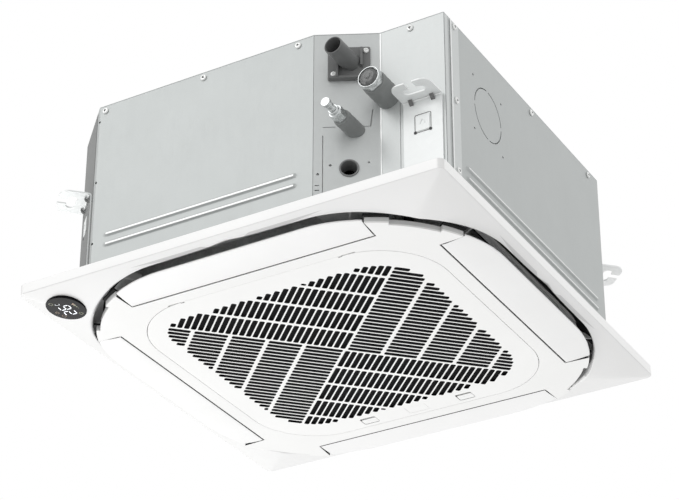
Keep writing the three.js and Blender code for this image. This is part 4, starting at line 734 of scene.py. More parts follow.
@dataclass(frozen=True)
class Lamp(Finish):
    """A lit mark of the display: even light with a faint grain of the diffuser."""

    strength: float = 1.0

    def make(self) -> bpy.types.Material:
        """Builds the light on the shader's own emission sockets.

        Returns:
            The material.
        """
        paint = self.start(Emission_Color=(*self.colour, 1), Emission_Strength=self.strength)
        grain = paint.noise(0.6, 2)
        paint.colour(paint.ramp(grain, (0.3, self.shade(0.8)), (0.7, self.shade(1.0))))
        return paint.material


@dataclass(frozen=True)
class ClearPlug(Finish):
    """Soft translucent plastic of a pipe plug, smoky and glossy."""

    def make(self) -> bpy.types.Material:
        """Builds a partly see-through body with moulding swirls.

        Returns:
            The material.
        """
        paint = self.start(Transmission_Weight=0.35, IOR=1.45, Coat_Weight=0.5)
        swirl = paint.noise(5, 4)
        paint.colour(paint.ramp(swirl, (0.3, self.shade(0.6)), (0.7, self.shade(1.4))))
        paint.relief(swirl, 0.25, 0.7)
        return paint.material


class Look(Enum):
    """Every finish of the unit."""

    SHEET = Galvanised("galvanised_sheet", (0.455, 0.475, 0.47), 0.42, 0.5)
    # Painted light: a lighter copy of the galvanised sheet for the corner sheet and its flange, lit more
    # brightly than the side sheets.
    LIT_SHEET = Galvanised("galvanised_painted_light", (0.585, 0.605, 0.60), 0.42, 0.45)
    # Painted shade: a darker copy of the galvanised sheet, on the left corner and on the left bracket's
    # upright plate.
    SHADED_SHEET = Galvanised("galvanised_shaded", (0.20, 0.205, 0.203), 0.5, 0.3)
    # Painted highlight: a bright copy of the galvanised sheet, for the folds, the crests of the ribs and the
    # whole right bracket.
    PAINTED_HIGHLIGHT = Galvanised("painted_highlight_zinc", (0.90, 0.91, 0.905), 0.3, 0.3)
    BRACKET = Galvanised("bracket_steel", (0.84, 0.86, 0.855), 0.34, 0.15, 14.0)
    SCREW = Metal("screw_steel", (0.88, 0.89, 0.88), 0.26, 0.5, (1.0, 1.0, 1.0), 1.2)
    PANEL = Moulded("white_plastic", (0.86, 0.86, 0.85), 0.42, coat=0.05)
    GRILLE = Moulded("grille_plastic", (0.87, 0.87, 0.86), 0.45)
    FLAP = Moulded("flap_plastic", (0.86, 0.86, 0.855), 0.40, coat=0.05)
    # A shade darker than the panel's white plastic: painted shade on the frame's sloping face.
    FASCIA = Moulded("fascia_plastic", (0.80, 0.80, 0.795), 0.42, coat=0.05)
    # Painted shade: the panel base is near black, standing for the shade deep in the outlets and behind the
    # flaps.
    BASE = Moulded("base_painted_shade", (0.02, 0.0203, 0.0203), 0.7, shine=0.1)
    # Painted shade: near black for the walls of the grille's slots.
    SLOT_SHADE = Moulded("slot_wall_painted_shade", (0.03, 0.03, 0.03), 0.7, shine=0.1)
    # Painted highlight: a brighter copy of the white plastic on the rim's upright faces.
    RIM = Moulded("rim_painted_highlight", (0.95, 0.95, 0.945), 0.42, coat=0.05)
    # Painted shade: darker copies of the white plastic on the rolled edge and in the throat.
    ROLL = Moulded("roll_painted_shade", (0.60, 0.60, 0.597), 0.5)
    THROAT_EDGE = Moulded("throat_edge_painted_shade", (0.46, 0.46, 0.458), 0.5)
    THROAT = Moulded("throat_painted_shade", (0.075, 0.075, 0.075), 0.6, shine=0.2)
    THROAT_TOP = Moulded("throat_top", (0.02, 0.02, 0.02), 0.7, shine=0.1)
    # Painted shade: a grey copy of the white plastic on the plate's turned-up lips.
    LIP_SHADE = Moulded("lip_painted_shade", (0.60, 0.60, 0.595), 0.5)
    NET = Net("filter_net", (0.014, 0.014, 0.015), 0.7)
    LENS = Lens("display_glass", (0.006, 0.006, 0.007), 0.1)
    DIGIT = Lamp("lit_digit", (0.92, 0.96, 1.0), 0.3, strength=0.9)
    AMBER_MARK = Lamp("dim_amber_mark", (0.20, 0.12, 0.05), 0.3, strength=0.25)
    GREEN_MARK = Lamp("dim_green_mark", (0.16, 0.17, 0.08), 0.3, strength=0.25)
    GREY_PLASTIC = Moulded("grey_plastic", (0.15, 0.153, 0.152), 0.45, grain=0.8, depth=0.05)
    SLEEVE = Foam("pipe_foam", (0.225, 0.235, 0.232), 0.85, bead=0.9, depth=0.2)
    NUT = Metal("nut_metal", (0.72, 0.74, 0.74), 0.26, 0.9, (1.0, 1.0, 1.0), 1.6)
    COPPER = Metal("copper", (0.72, 0.36, 0.2), 0.32, 0.95)
    LINER = Foam("foam_board", (0.80, 0.81, 0.81), 0.9, bead=3.2, depth=0.25)
    FINS = Fins("coil_fins", (0.55, 0.57, 0.58), 0.4, 0.8)
    END_PLATE = Galvanised("coil_end", (0.55, 0.56, 0.56), 0.4, 0.6)
    FAN = Moulded("fan_plastic", (0.66, 0.68, 0.69), 0.4)
    MOTOR = Metal("motor_steel", (0.42, 0.44, 0.45), 0.4, 0.8)
    SHAFT = Metal("shaft_steel", (0.62, 0.63, 0.64), 0.25, 0.95)
    PUMP = Moulded("pump_plastic", (0.70, 0.71, 0.71), 0.5)
    DARK = Moulded("dark_plastic", (0.03, 0.03, 0.032), 0.5)
    HOSE = Moulded("hose_plastic", (0.16, 0.165, 0.165), 0.45, grain=1.5, depth=0.1)
    BOARD = Board("board", (0.02, 0.13, 0.06), 0.45)
    RING = Moulded("ring_rubber", (0.20, 0.205, 0.205), 0.6, grain=0.7, depth=0.05)
    # Painted shade: a near-black material for strips in the seams round the flaps, where only shade falls.
    GAP_SHADOW = Moulded("gasket_rubber", (0.022, 0.023, 0.024), 0.75, grain=0.7, depth=0.05)
    # Painted shadow lines: a dark material on the bracket's pressings and round the grille's latch windows.
    SEAM = Moulded("shadow_line", (0.16, 0.16, 0.16), 0.7)
    PLUG = ClearPlug("clear_plug", (0.13, 0.135, 0.135), 0.1)


_made: dict[Look, bpy.types.Material] = {}


def finish_of(look: Look) -> bpy.types.Material:
    """The material of a finish, made once.

    Args:
        look: which finish.

    Returns:
        Its material.
    """
    if look not in _made:
        _made[look] = look.value.make()
    return _made[look]


# ---------------------------------------------------------------- pieces


class Body(str, Enum):
    """The frame's bodies that the new pieces ride on."""

    CABINET = "cabinet"
    FRONT_FLAP = "front_flap"
    RIGHT_FLAP = "right_flap"
    BACK_FLAP = "back_flap"
    LEFT_FLAP = "left_flap"
    GRILLE = "grille"
    LEFT_LATCH = "left_latch"
    RIGHT_LATCH = "right_latch"


@dataclass
class Piece:
    """A new piece: its skin and what it is to the frame."""

    name: str
    skin: Skin
    look: Look
    slot: str
    body: Body = Body.CABINET
    replaces: tuple[str, ...] = ()
    sharp: float = 32.0
    recalculate: bool = False
    cutters: tuple[Skin, ...] = ()

    def make(self) -> bpy.types.Object:
        """Makes the mesh, cuts it, dresses it and hands it to the frame.

        Returns:
            The object.
        """
        made = mesh_object(self.name, self.skin, self.recalculate)
        if self.cutters:
            carve(made, self.cutters)
        data = made.data
        data.shade_smooth()
        data.set_sharp_from_angle(angle=math.radians(self.sharp))
        data.materials.clear()
        data.materials.append(finish_of(self.look))
        even = made.modifiers.new("even_normals", "WEIGHTED_NORMAL")
        even.keep_sharp = True
        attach(made, self.body.value)
        if self.replaces:
            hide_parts(*self.replaces)
        log.info("%s: %d faces on %s", self.name, len(data.polygons), self.body.value)
        return made


def mesh_object(name: str, skin: Skin, recalculate: bool = False) -> bpy.types.Object:
    """Puts a skin into a mesh object at the origin, in metres, with its doubles merged.

    Args:
        name: of the object and of its mesh.
        skin: its shape.
        recalculate: turns all its faces outwards.

    Returns:
        The object, linked to the scene.
    """
    data = bpy.data.meshes.new(name)
    data.from_pydata((skin.points * MM).tolist(), [], skin.faces)
    work = bmesh.new()
    work.from_mesh(data)
    bmesh.ops.remove_doubles(work, verts=work.verts, dist=MERGE)
    bmesh.ops.dissolve_degenerate(work, edges=work.edges, dist=MERGE / 4)
    if recalculate:
        bmesh.ops.recalc_face_normals(work, faces=work.faces)
    work.to_mesh(data)
    work.free()
    data.update()
    made = bpy.data.objects.new(name, data)
    bpy.context.scene.collection.objects.link(made)
    return made


def carve(target: bpy.types.Object, cutters: Iterable[Skin]) -> None:
    """Cuts closed skins out of a piece and keeps the result in its mesh.

    Args:
        target: the piece that is cut.
        cutters: closed skins in the same coordinates.
    """
    tool = mesh_object(target.name + "_cutter", merged(*cutters), True)
    cut = target.modifiers.new("cut", "BOOLEAN")
    cut.operation = "DIFFERENCE"
    cut.solver = "EXACT"
    cut.use_self = True
    cut.object = tool
    graph = bpy.context.evaluated_depsgraph_get()
    result = bpy.data.meshes.new_from_object(target.evaluated_get(graph))
    target.modifiers.clear()
    old = target.data
    target.data = result
    bpy.data.meshes.remove(old)
    bpy.data.objects.remove(tool)


# ---------------------------------------------------------------- cabinet


@dataclass(frozen=True)
class Wall:
    """One flat wall of the cabinet: local x along it, local -y out of it."""

    start: Array
    end: Array

    @property
    def length(self) -> float:
        """How long the wall is."""
        return float(np.linalg.norm(self.end - self.start))

    def matrix(self, along: float = 0.0, level: float = 0.0) -> Matrix:
        """The frame at a distance along the wall and a level.

        Args:
            along: distance from the wall's start.
            level: height above z = 0.

        Returns:
            The frame: x along the wall, -y out of it.
        """
        run = self.end - self.start
        foot = self.start + run / self.length * along
        turn = math.atan2(run[1], run[0])
        return Matrix.Translation((foot[0], foot[1], level)) @ Matrix.Rotation(turn, 4, "Z")


@dataclass
class Cabinet:
    """The galvanised cabinet above the ceiling: sheets, cover, screws and brackets."""

    half: float = 285.0
    chamfer: float = 69.2
    slant_left: float = 117.7
    slant_right: float = 192.5
    recess: float = 38.1
    bottom: float = 33.8
    top: float = 293.8
    sheet: float = 1.2
    fold: float = 1.6
    rib_reach: float = 3.6
    rib_rise: float = 2.0
    rib_fade: float = 2.2
    rib_band: float = 4.4
    rib_levels: tuple[float, float] = (73.65, 88.65)
    gap: float = 0.3
    screw_level: float = 284.8
    screw_turn: float = 37.0
    flange_start: float = 17.0
    flange_end: float = 37.0
    flange_rise: float = 1.1
    bead_ring: float = 103.5
    bead_half: float = 7.5
    bead_fade: float = 6.0
    bead_depth: float = 2.2
    ray_start: float = 136.0
    ray_end: float = 228.0

    def __post_init__(self) -> None:
        """Works out the outline and its walls."""
        h, c = self.half, self.chamfer
        back = -h + self.recess
        self.corners = np.array([
            [-h, -h + c], [-h + c, -h], [self.slant_left, -h], [self.slant_right, back], [h, back],
            [h, h - c], [h - c, h], [-h + c, h], [-h, h - c],
        ])
        names = (
            "left_corner", "front", "slant", "recess", "right", "right_corner", "back", "back_corner", "left",
        )
        ends = np.roll(self.corners, -1, 0)
        self.walls = {name: Wall(a, b) for name, a, b in zip(names, self.corners, ends)}

    def outline(self, inset: float) -> Array:
        """The cabinet's outline, moved inwards."""
        return self.corners - outward(self.corners) * inset

    def bent_path(self, numbers: Sequence[int], spacing: float, trim: float) -> tuple[Array, Array, Array]:
        """A path over consecutive corners whose folds are arcs.

        Args:
            numbers: the corners, in order.
            spacing: of the points along the flats.
            trim: how much shorter both ends are.

        Returns:
            Plan points, outward unit normals and the distance along the unrounded path.
        """
        corner = self.corners[list(numbers)].copy()
        corner[0] += trim * (corner[1] - corner[0]) / np.linalg.norm(corner[1] - corner[0])
        corner[-1] += trim * (corner[-2] - corner[-1]) / np.linalg.norm(corner[-2] - corner[-1])
        runs = np.diff(corner, axis=0)
        sizes = np.linalg.norm(runs, axis=1)
        ways = runs / sizes[:, None]
        normals = np.column_stack([ways[:, 1], -ways[:, 0]])
        starts = np.concatenate([[0], np.cumsum(sizes)])
        points, out, distance = [], [], []
        for i, (size, way, normal) in enumerate(zip(sizes, ways, normals)):
            low = self.fold if i else 0.0
            high = size - (self.fold if i < len(sizes) - 1 else 0.0)
            s = np.linspace(low, high, max(2, int((high - low) / spacing) + 1))
            points.append(corner[i] + s[:, None] * way)
            out.append(np.repeat(normal[None], len(s), 0))
            distance.append(starts[i] + s)
            if i < len(sizes) - 1:
                t = np.linspace(0, 1, 6)[1:-1, None]
                a, b, c = corner[i] + way * high, corner[i + 1], corner[i + 1] + ways[i + 1] * self.fold
                points.append((1 - t) ** 2 * a + 2 * t * (1 - t) * b + t**2 * c)
                mixed = normal * (1 - t) + normals[i + 1] * t
                out.append(mixed / np.linalg.norm(mixed, axis=1, keepdims=True))
                distance.append(starts[i + 1] + (t[:, 0] * 2 - 1) * self.fold)
        return np.concatenate(points), np.concatenate(out), np.concatenate(distance)

    def levels(self, ribbed: bool) -> Array:
        """Heights of a sheet's rows, close together over the ribs.

        Args:
            ribbed: whether the sheet has ribs.

        Returns:
            The heights, from below upwards.
        """
        top = self.top - self.sheet - self.gap
        rows = [np.array([self.bottom, self.bottom + 8])]
        if ribbed:
            band = np.linspace(-self.rib_band, self.rib_band, 13)
            rows += [level + band for level in self.rib_levels]
        rows += [np.linspace(110, top, 6)]
        return np.concatenate(rows)

    def sheet_skin(
        self, numbers: Sequence[int], ribs: Sequence[tuple[float, float]] = (), trim: float = 0.3
    ) -> Skin:
        """A folded sheet with two pressed ribs along each given stretch of its path.

        A rib's height is a smooth step of its distance to the stretch: full in its middle and none past
        its reach.

        Args:
            numbers: the outline's corners that it runs over.
            ribs: (start, end) of each ribbed stretch, along the path.
            trim: how much shorter both ends are.

        Returns:
            The closed sheet.
        """
        plan, normal, s = self.bent_path(numbers, 3.0, trim)
        level = self.levels(bool(ribs))
        rise = np.zeros((len(level), len(s)))
        for low, high in ribs:
            past = np.maximum(np.maximum(low + self.rib_reach - s, s - high + self.rib_reach), 0)
            for middle in self.rib_levels:
                far = np.hypot(past[None], (level - middle)[:, None])
                near = smooth_step((self.rib_reach - far) / self.rib_fade)
                rise = np.maximum(rise, self.rib_rise * near)
        outer = np.empty((len(level), len(s), 3))
        outer[..., :2] = plan[None] + normal[None] * rise[..., None]
        outer[..., 2] = level[:, None]
        inner = outer.copy()
        inner[..., :2] -= normal[None] * self.sheet
        rows = np.concatenate([outer, inner[::-1]])
        skin = grid(rows, close_rows=True)
        columns = len(s)
        ring = np.arange(len(rows)) * columns
        left = tuple(ring.tolist())
        right = tuple((ring + columns - 1)[::-1].tolist())
        return Skin(skin.points, [*skin.faces, left, right])

    def on_wall(self, wall: str, skin: Skin, along: float, level: float) -> Skin:
        """Puts a piece built with local -y outwards on a wall."""
        return skin.placed(self.walls[wall].matrix(along, level))

    def slit(self, wall: str, x0: float, x1: float, z0: float, z1: float) -> Skin:
        """A cutter for a straight slit in a wall, from one distance and level to another."""
        return self.on_wall(wall, block((x0, -3, z0), (x1, 4, z1)), 0, 0)

    def hole(self, wall: str, along: float, level: float, radius: float, sides: int = 20) -> Skin:
        """A cutter for a round hole in a wall."""
        bar = prism(circle(radius, sides), -4, 4).turned(90, "X")
        return self.on_wall(wall, bar, along, level)

    def knockout(self) -> list[Skin]:
        """Cutters for the round knock-out of the right side: four arcs and four small holes.

        Returns:
            The cutters.
        """
        along, level, radius = 117.5, 203.3, 37.0
        screw_x, screw_z = 39.5, 41.0
        cutters = []
        for quarter in QUARTERS:
            angle = np.radians(quarter + np.linspace(4, 86, 17))
            ray = np.column_stack([np.cos(angle), np.sin(angle)])
            loop = np.concatenate([ray * (radius + 0.8), ray[::-1] * (radius - 0.8)])
            cutters.append(self.on_wall("right", prism(loop, -4, 4).turned(90, "X"), along, level))
        for side, end in ((1, 1), (-1, 1), (-1, -1), (1, -1)):
            cutters.append(self.hole("right", along + side * screw_x, level + end * screw_z, 1.7, 12))
        return cutters

    def pipe_holes(self) -> list[Skin]:
        """Cutters where the pipes, the spout and the wires pass through the corner sheet.

        Returns:
            The cutters.
        """
        leaning = np.array([[71.2, 151.0], [72.4, 151.0], [75.2, 176.0], [74.0, 176.0]])
        return [
            forwards(prism(circle(7.2, 24), 236, 300), GAS_X, GAS_Z),
            forwards(prism(circle(4.2, 24), 236, 320), LIQUID_X, LIQUID_Z),
            forwards(prism(circle(13.2, 32), 236, 320), SPOUT_X, SPOUT_Z),
            self.hole("slant", ENTRY_ALONG, ENTRY_Z, 12.0, 32),
            self.hole("slant", 21.5, 94.9, 1.9),
            self.hole("slant", 6, 82.4, 1.9),
            self.hole("slant", 69.5, 97.9, 1.3),
            self.slit("slant", 2.4, 8, 65.4, 66.6),
            self.slit("slant", 12, 28, 150.9, 151.8),
            self.slit("slant", 63, 72, 150.9, 151.8),
            self.slit("slant", 11.5, 12.5, 52, 139),
            self.slit("slant", 2.4, 8, 58.2, 59.8),
            self.on_wall("slant", prism(leaning, -4, 4).turned(90, "X"), 0, 0),
            self.slit("recess", 28.2, 28.9, 40, 178),
        ]

    def cover_skin(self) -> Skin:
        """The top cover: an outline with round edges and beads pressed into its roof.

        Each roof point drops by the deepest of the beads near it: a ring round the motor and eight rays.

        Returns:
            The closed cover.
        """
        outline = filleted(self.corners, self.fold, 4)
        low, high, edge = self.top - self.sheet, self.top, 0.5
        step = 7.0
        span = np.arange(-self.half + step, self.half, step)
        x, y = (axis.ravel() for axis in np.meshgrid(span, span))
        inner = self.outline(6.0)
        ahead = np.roll(inner, -1, 0) - inner
        side = [(ahead[i, 0] * (y - p[1]) - ahead[i, 1] * (x - p[0])) for i, p in enumerate(inner)]
        kept = np.all([value > 0 for i, value in enumerate(side) if i not in (2, 3)], 0)
        kept &= (side[2] > 0) | (side[3] > 0)
        radius, angle = np.hypot(x, y), np.degrees(np.arctan2(y, x))
        near_ring = [self.bead_ring + self.bead_half / 3 * number for number in range(-3, 4)]
        ring_points = [circle(r, int(r * 0.9)) for r in near_ring]
        ray_points = []
        for turn in np.radians(np.arange(0, 360, 45) + 22.5):
            s, t = np.meshgrid(np.linspace(128, 236, 24), np.linspace(-self.bead_half, self.bead_half, 7))
            c, d = math.cos(turn), math.sin(turn)
            ray_points.append(np.column_stack([(s * c - t * d).ravel(), (s * d + t * c).ravel()]))
        off_ring = np.abs(radius - self.bead_ring) > 11
        off_ray = np.abs((angle + 360) % 45 - 22.5) * np.pi / 180 * radius > 11
        kept &= off_ring & (off_ray | (radius < 118) | (radius > 246))
        extra = np.concatenate([np.column_stack([x, y])[kept], *ring_points, *ray_points])
        plan, triangles = flat_fill(outline - outward(outline) * edge, [], extra)
        r, a = np.hypot(plan[:, 0], plan[:, 1]), np.arctan2(plan[:, 1], plan[:, 0])
        ring = smooth_step((self.bead_half - np.abs(r - self.bead_ring)) / self.bead_fade)
        turn = (a + 2 * math.pi) % (math.pi / 4) - math.pi / 8
        across = np.abs(r * np.sin(turn))
        past = np.maximum(np.maximum(self.ray_start - r, r - self.ray_end), 0)
        ray = smooth_step((self.bead_half - np.hypot(across, past)) / self.bead_fade) * (r > 120)
        drop = self.bead_depth * np.maximum(ring, ray)
        roof = np.column_stack([plan, high - drop])
        under = np.column_stack([plan, low - drop])
        arc = np.linspace(0, math.pi / 2, 3)
        inset = np.concatenate([edge * (1 - np.sin(arc)), edge * (1 - np.cos(arc))])
        level = np.concatenate([low + edge * (1 - np.cos(arc)), high - edge * (1 - np.sin(arc))])
        wall = np.stack([lifted(outline - outward(outline) * i, z) for i, z in zip(inset, level)])
        upper = [tuple(face) for face in triangles.tolist()]
        return merged(
            Skin(roof, upper), Skin(under, [face[::-1] for face in upper]), grid(wall, close_columns=True)
        )

    def screw_skin(self, radius: float = 4.5, rise: float = 2.4) -> Skin:
        """A pan-head screw along +Z: a dome with a cross recess pressed into it.

        The dome's height falls with the square of the radius; the cross drops where both arms' widths allow.

        Args:
            radius: of the head.
            rise: height of the dome.

        Returns:
            The screw.
        """
        r = np.concatenate([np.linspace(0, 0.62, 12), np.linspace(0.7, 1, 7)]) * radius
        a = np.linspace(0, 2 * math.pi, 48, endpoint=False)
        rr, aa = np.meshgrid(r, a, indexing="ij")
        x, y = rr * np.cos(aa), rr * np.sin(aa)
        dome = rise * (1 - 0.28 * (rr / radius) ** 2 - 0.3 * smooth_step((rr / radius - 0.8) / 0.2))
        half, reach, depth = 0.715, 2.3, 1.3
        arm = np.maximum(
            (np.abs(x) < half) * (np.abs(y) < reach), (np.abs(y) < half) * (np.abs(x) < reach)
        )
        height = dome - depth * arm * np.clip(1.6 - rr / 1.6, 0, 1)
        top = np.stack([x, y, height], -1)
        foot = np.stack([x[-1], y[-1], np.full(len(a), 0.05)], -1)
        shank = np.stack([x[-1] * 0.45, y[-1] * 0.45, np.full(len(a), 0.0)], -1)
        tip = np.stack([x[-1] * 0.4, y[-1] * 0.4, np.full(len(a), -2.6)], -1)
        end = np.stack([x[-1] * 0, y[-1] * 0, np.full(len(a), -3.2)], -1)
        rows = np.concatenate([top, foot[None], shank[None], tip[None], end[None]])
        return grid(rows, close_columns=True)

    def seat(self, wall: str, along: float) -> float:
        """How far a screw's seat stands out of its wall: more on the flange of the corner sheet."""
        return self.gap + (self.flange_rise if wall == "right" and along < self.flange_end else 0.0)

    def screws(self, spots: Sequence[tuple[str, float, float, float]]) -> Skin:
        """Screws at (wall, along, level, head radius).

        Args:
            spots: where they sit.

        Returns:
            All of them in one skin.
        """
        heads = []
        for number, (wall, along, level, radius) in enumerate(spots):
            one = self.screw_skin(radius).turned(self.screw_turn * number)
            one = one.moved(0, 0, self.seat(wall, along))
            heads.append(self.on_wall(wall, one.turned(90, "X"), along, level))
        return merged(*heads)

    def recess_shadows(self, spots: Sequence[tuple[str, float, float, float]]) -> Skin:
        """Painted shade: dark dots at the bottom of each screw's cross recess, at the same places.

        Args:
            spots: where the screws sit.

        Returns:
            All of them in one skin.
        """
        dots = []
        for wall, along, level, radius in spots:
            proud = self.seat(wall, along)
            dot = rounded_bar(radius * 0.3, proud + 1.2, proud + 2.25, 12, 0.1).turned(90, "X")
            dots.append(self.on_wall(wall, dot, along, level))
        return merged(*dots)

    def strip(
        self, wall: str, start: float, end: float, low: float, high: float, thick: float, base: float = 0.1,
        turn: float = 0.6,
    ) -> Skin:
        """A flat strip with rounded edges that lies on a wall.

        Args:
            wall: which wall it lies on.
            start: distance along the wall where it begins.
            end: distance along the wall where it ends.
            low: level of its lower edge.
            high: level of its upper edge.
            thick: how far its face stands out.
            base: how far its back stands out.
            turn: radius of its corners.

        Returns:
            The closed strip.
        """
        half_x, half_z = (end - start) / 2, (high - low) / 2
        edge = min(0.5, (thick - base) / 2 - 0.01)
        pad = pierced_plate(rounded_box(half_x, half_z, turn, 5), [], base, thick, edge, 3)
        return self.on_wall(wall, pad.turned(90, "X"), (start + end) / 2, (low + high) / 2)

    def overlays(self) -> None:
        """The flange of the corner sheet on the right side with painted light on it, painted highlights along
        the folds and the crests of the ribs, and a thin dark strip of painted shade on the left corner.
        """
        top = self.top - self.sheet - 1.0
        low = self.bottom + 0.5
        # The flange and the narrow strip along the corner take the lighter copy: painted light, the strip a
        # painted highlight on the corner fold.
        flange = self.strip("right", self.flange_start, self.flange_end, low, top, 1.3)
        edge = self.strip("right", 0.6, 8.6, low, top, 0.7)
        Piece("corner_flange", merged(flange, edge), Look.LIT_SHEET, "galvanised_sheet").make()
        # Painted highlights: bright strips along the folds and the crests of the ribs.
        bright = [
            self.strip("right", 15.3, 17.4, low, top, 1.6),
            self.strip("recess", 0.5, 2.2, low, top, 0.6),
        ]
        crest = self.rib_rise - 0.4
        for middle in self.rib_levels:
            for wall, start, end, below, above, turn in (
                ("front", 23.2, 307.0, 1.3, 1.5, 1.35), ("right", 54.4, 434.5, 0.2, 1.6, 0.85),
            ):
                reach = (middle - below, middle + above)
                bright.append(self.strip(wall, start, end, *reach, crest + 0.9, crest, turn))
        Piece("painted_fold_highlights", merged(*bright), Look.PAINTED_HIGHLIGHT, "galvanised_sheet").make()
        # Painted shade: a thin dark strip over most of the left corner wall.
        length = self.walls["left_corner"].length
        plain = self.strip("left_corner", 1.2, length - 13.0, self.bottom + 0.5, top, 0.5)
        Piece("left_corner_painted_shade", plain, Look.SHADED_SHEET, "galvanised_sheet").make()

    def build(self) -> None:
        """Makes the sheets, the cover and their screws."""
        left = np.linalg.norm(self.corners[1] - self.corners[0])
        front = [(left + 20.8, left + 309.3)]
        right = [(51.9, 436.9)]
        notches = [
            self.slit("front", -1.0, 2.6, level, level + 3.2) for level in (79.0, 172.5, 268.0)
        ]
        Piece("front_sheet", self.sheet_skin([0, 1, 2], front), Look.SHEET, "galvanised_sheet",
              replaces=("front_side_sheet",), cutters=tuple(notches), recalculate=True).make()
        Piece("right_sheet", self.sheet_skin([4, 5, 6], right), Look.SHEET, "galvanised_sheet",
              replaces=("right_side_sheet",), cutters=tuple(self.knockout()), recalculate=True).make()
        Piece("back_sheet", self.sheet_skin([6, 7, 8]), Look.SHEET, "galvanised_sheet",
              replaces=("back_side_sheet",), recalculate=True).make()
        Piece("left_sheet", self.sheet_skin([8, 0]), Look.SHEET, "galvanised_sheet",
              replaces=("left_side_sheet",), recalculate=True).make()
        # The corner sheet takes the lighter copy of the galvanised sheet: painted light.
        Piece("corner_sheet", self.sheet_skin([2, 3, 4]), Look.LIT_SHEET, "galvanised_sheet",
              replaces=("pipe_corner_sheet",), cutters=tuple(self.pipe_holes()), recalculate=True).make()
        self.overlays()
        Piece("cover", self.cover_skin(), Look.SHEET, "galvanised_sheet", replaces=("top_cover",)).make()
        z = self.screw_level
        head = 4.5
        places = {
            "front": (10, 165.8, 310.2), "recess": (44.5,), "right": (249.4, 429.4),
            "back": (33, 215.8, 398), "left": (33, 215.8, 398),
        }
        cover = [(wall, along, z, head) for wall, row in places.items() for along in row]
        corner = [("right", 24.9, z, head), ("right", 25.9, z - 112, head), ("right", 26.9, z - 215, head)]
        Piece("cover_screws", self.screws(cover), Look.SCREW, "galvanised_sheet").make()
        Piece("corner_screws", self.screws(corner), Look.SCREW, "galvanised_sheet").make()
        # Painted shade in each screw's cross recess: dark dots.
        Piece("screw_recess_shadows", self.recess_shadows(cover + corner), Look.DARK, "galvanised_sheet").make()


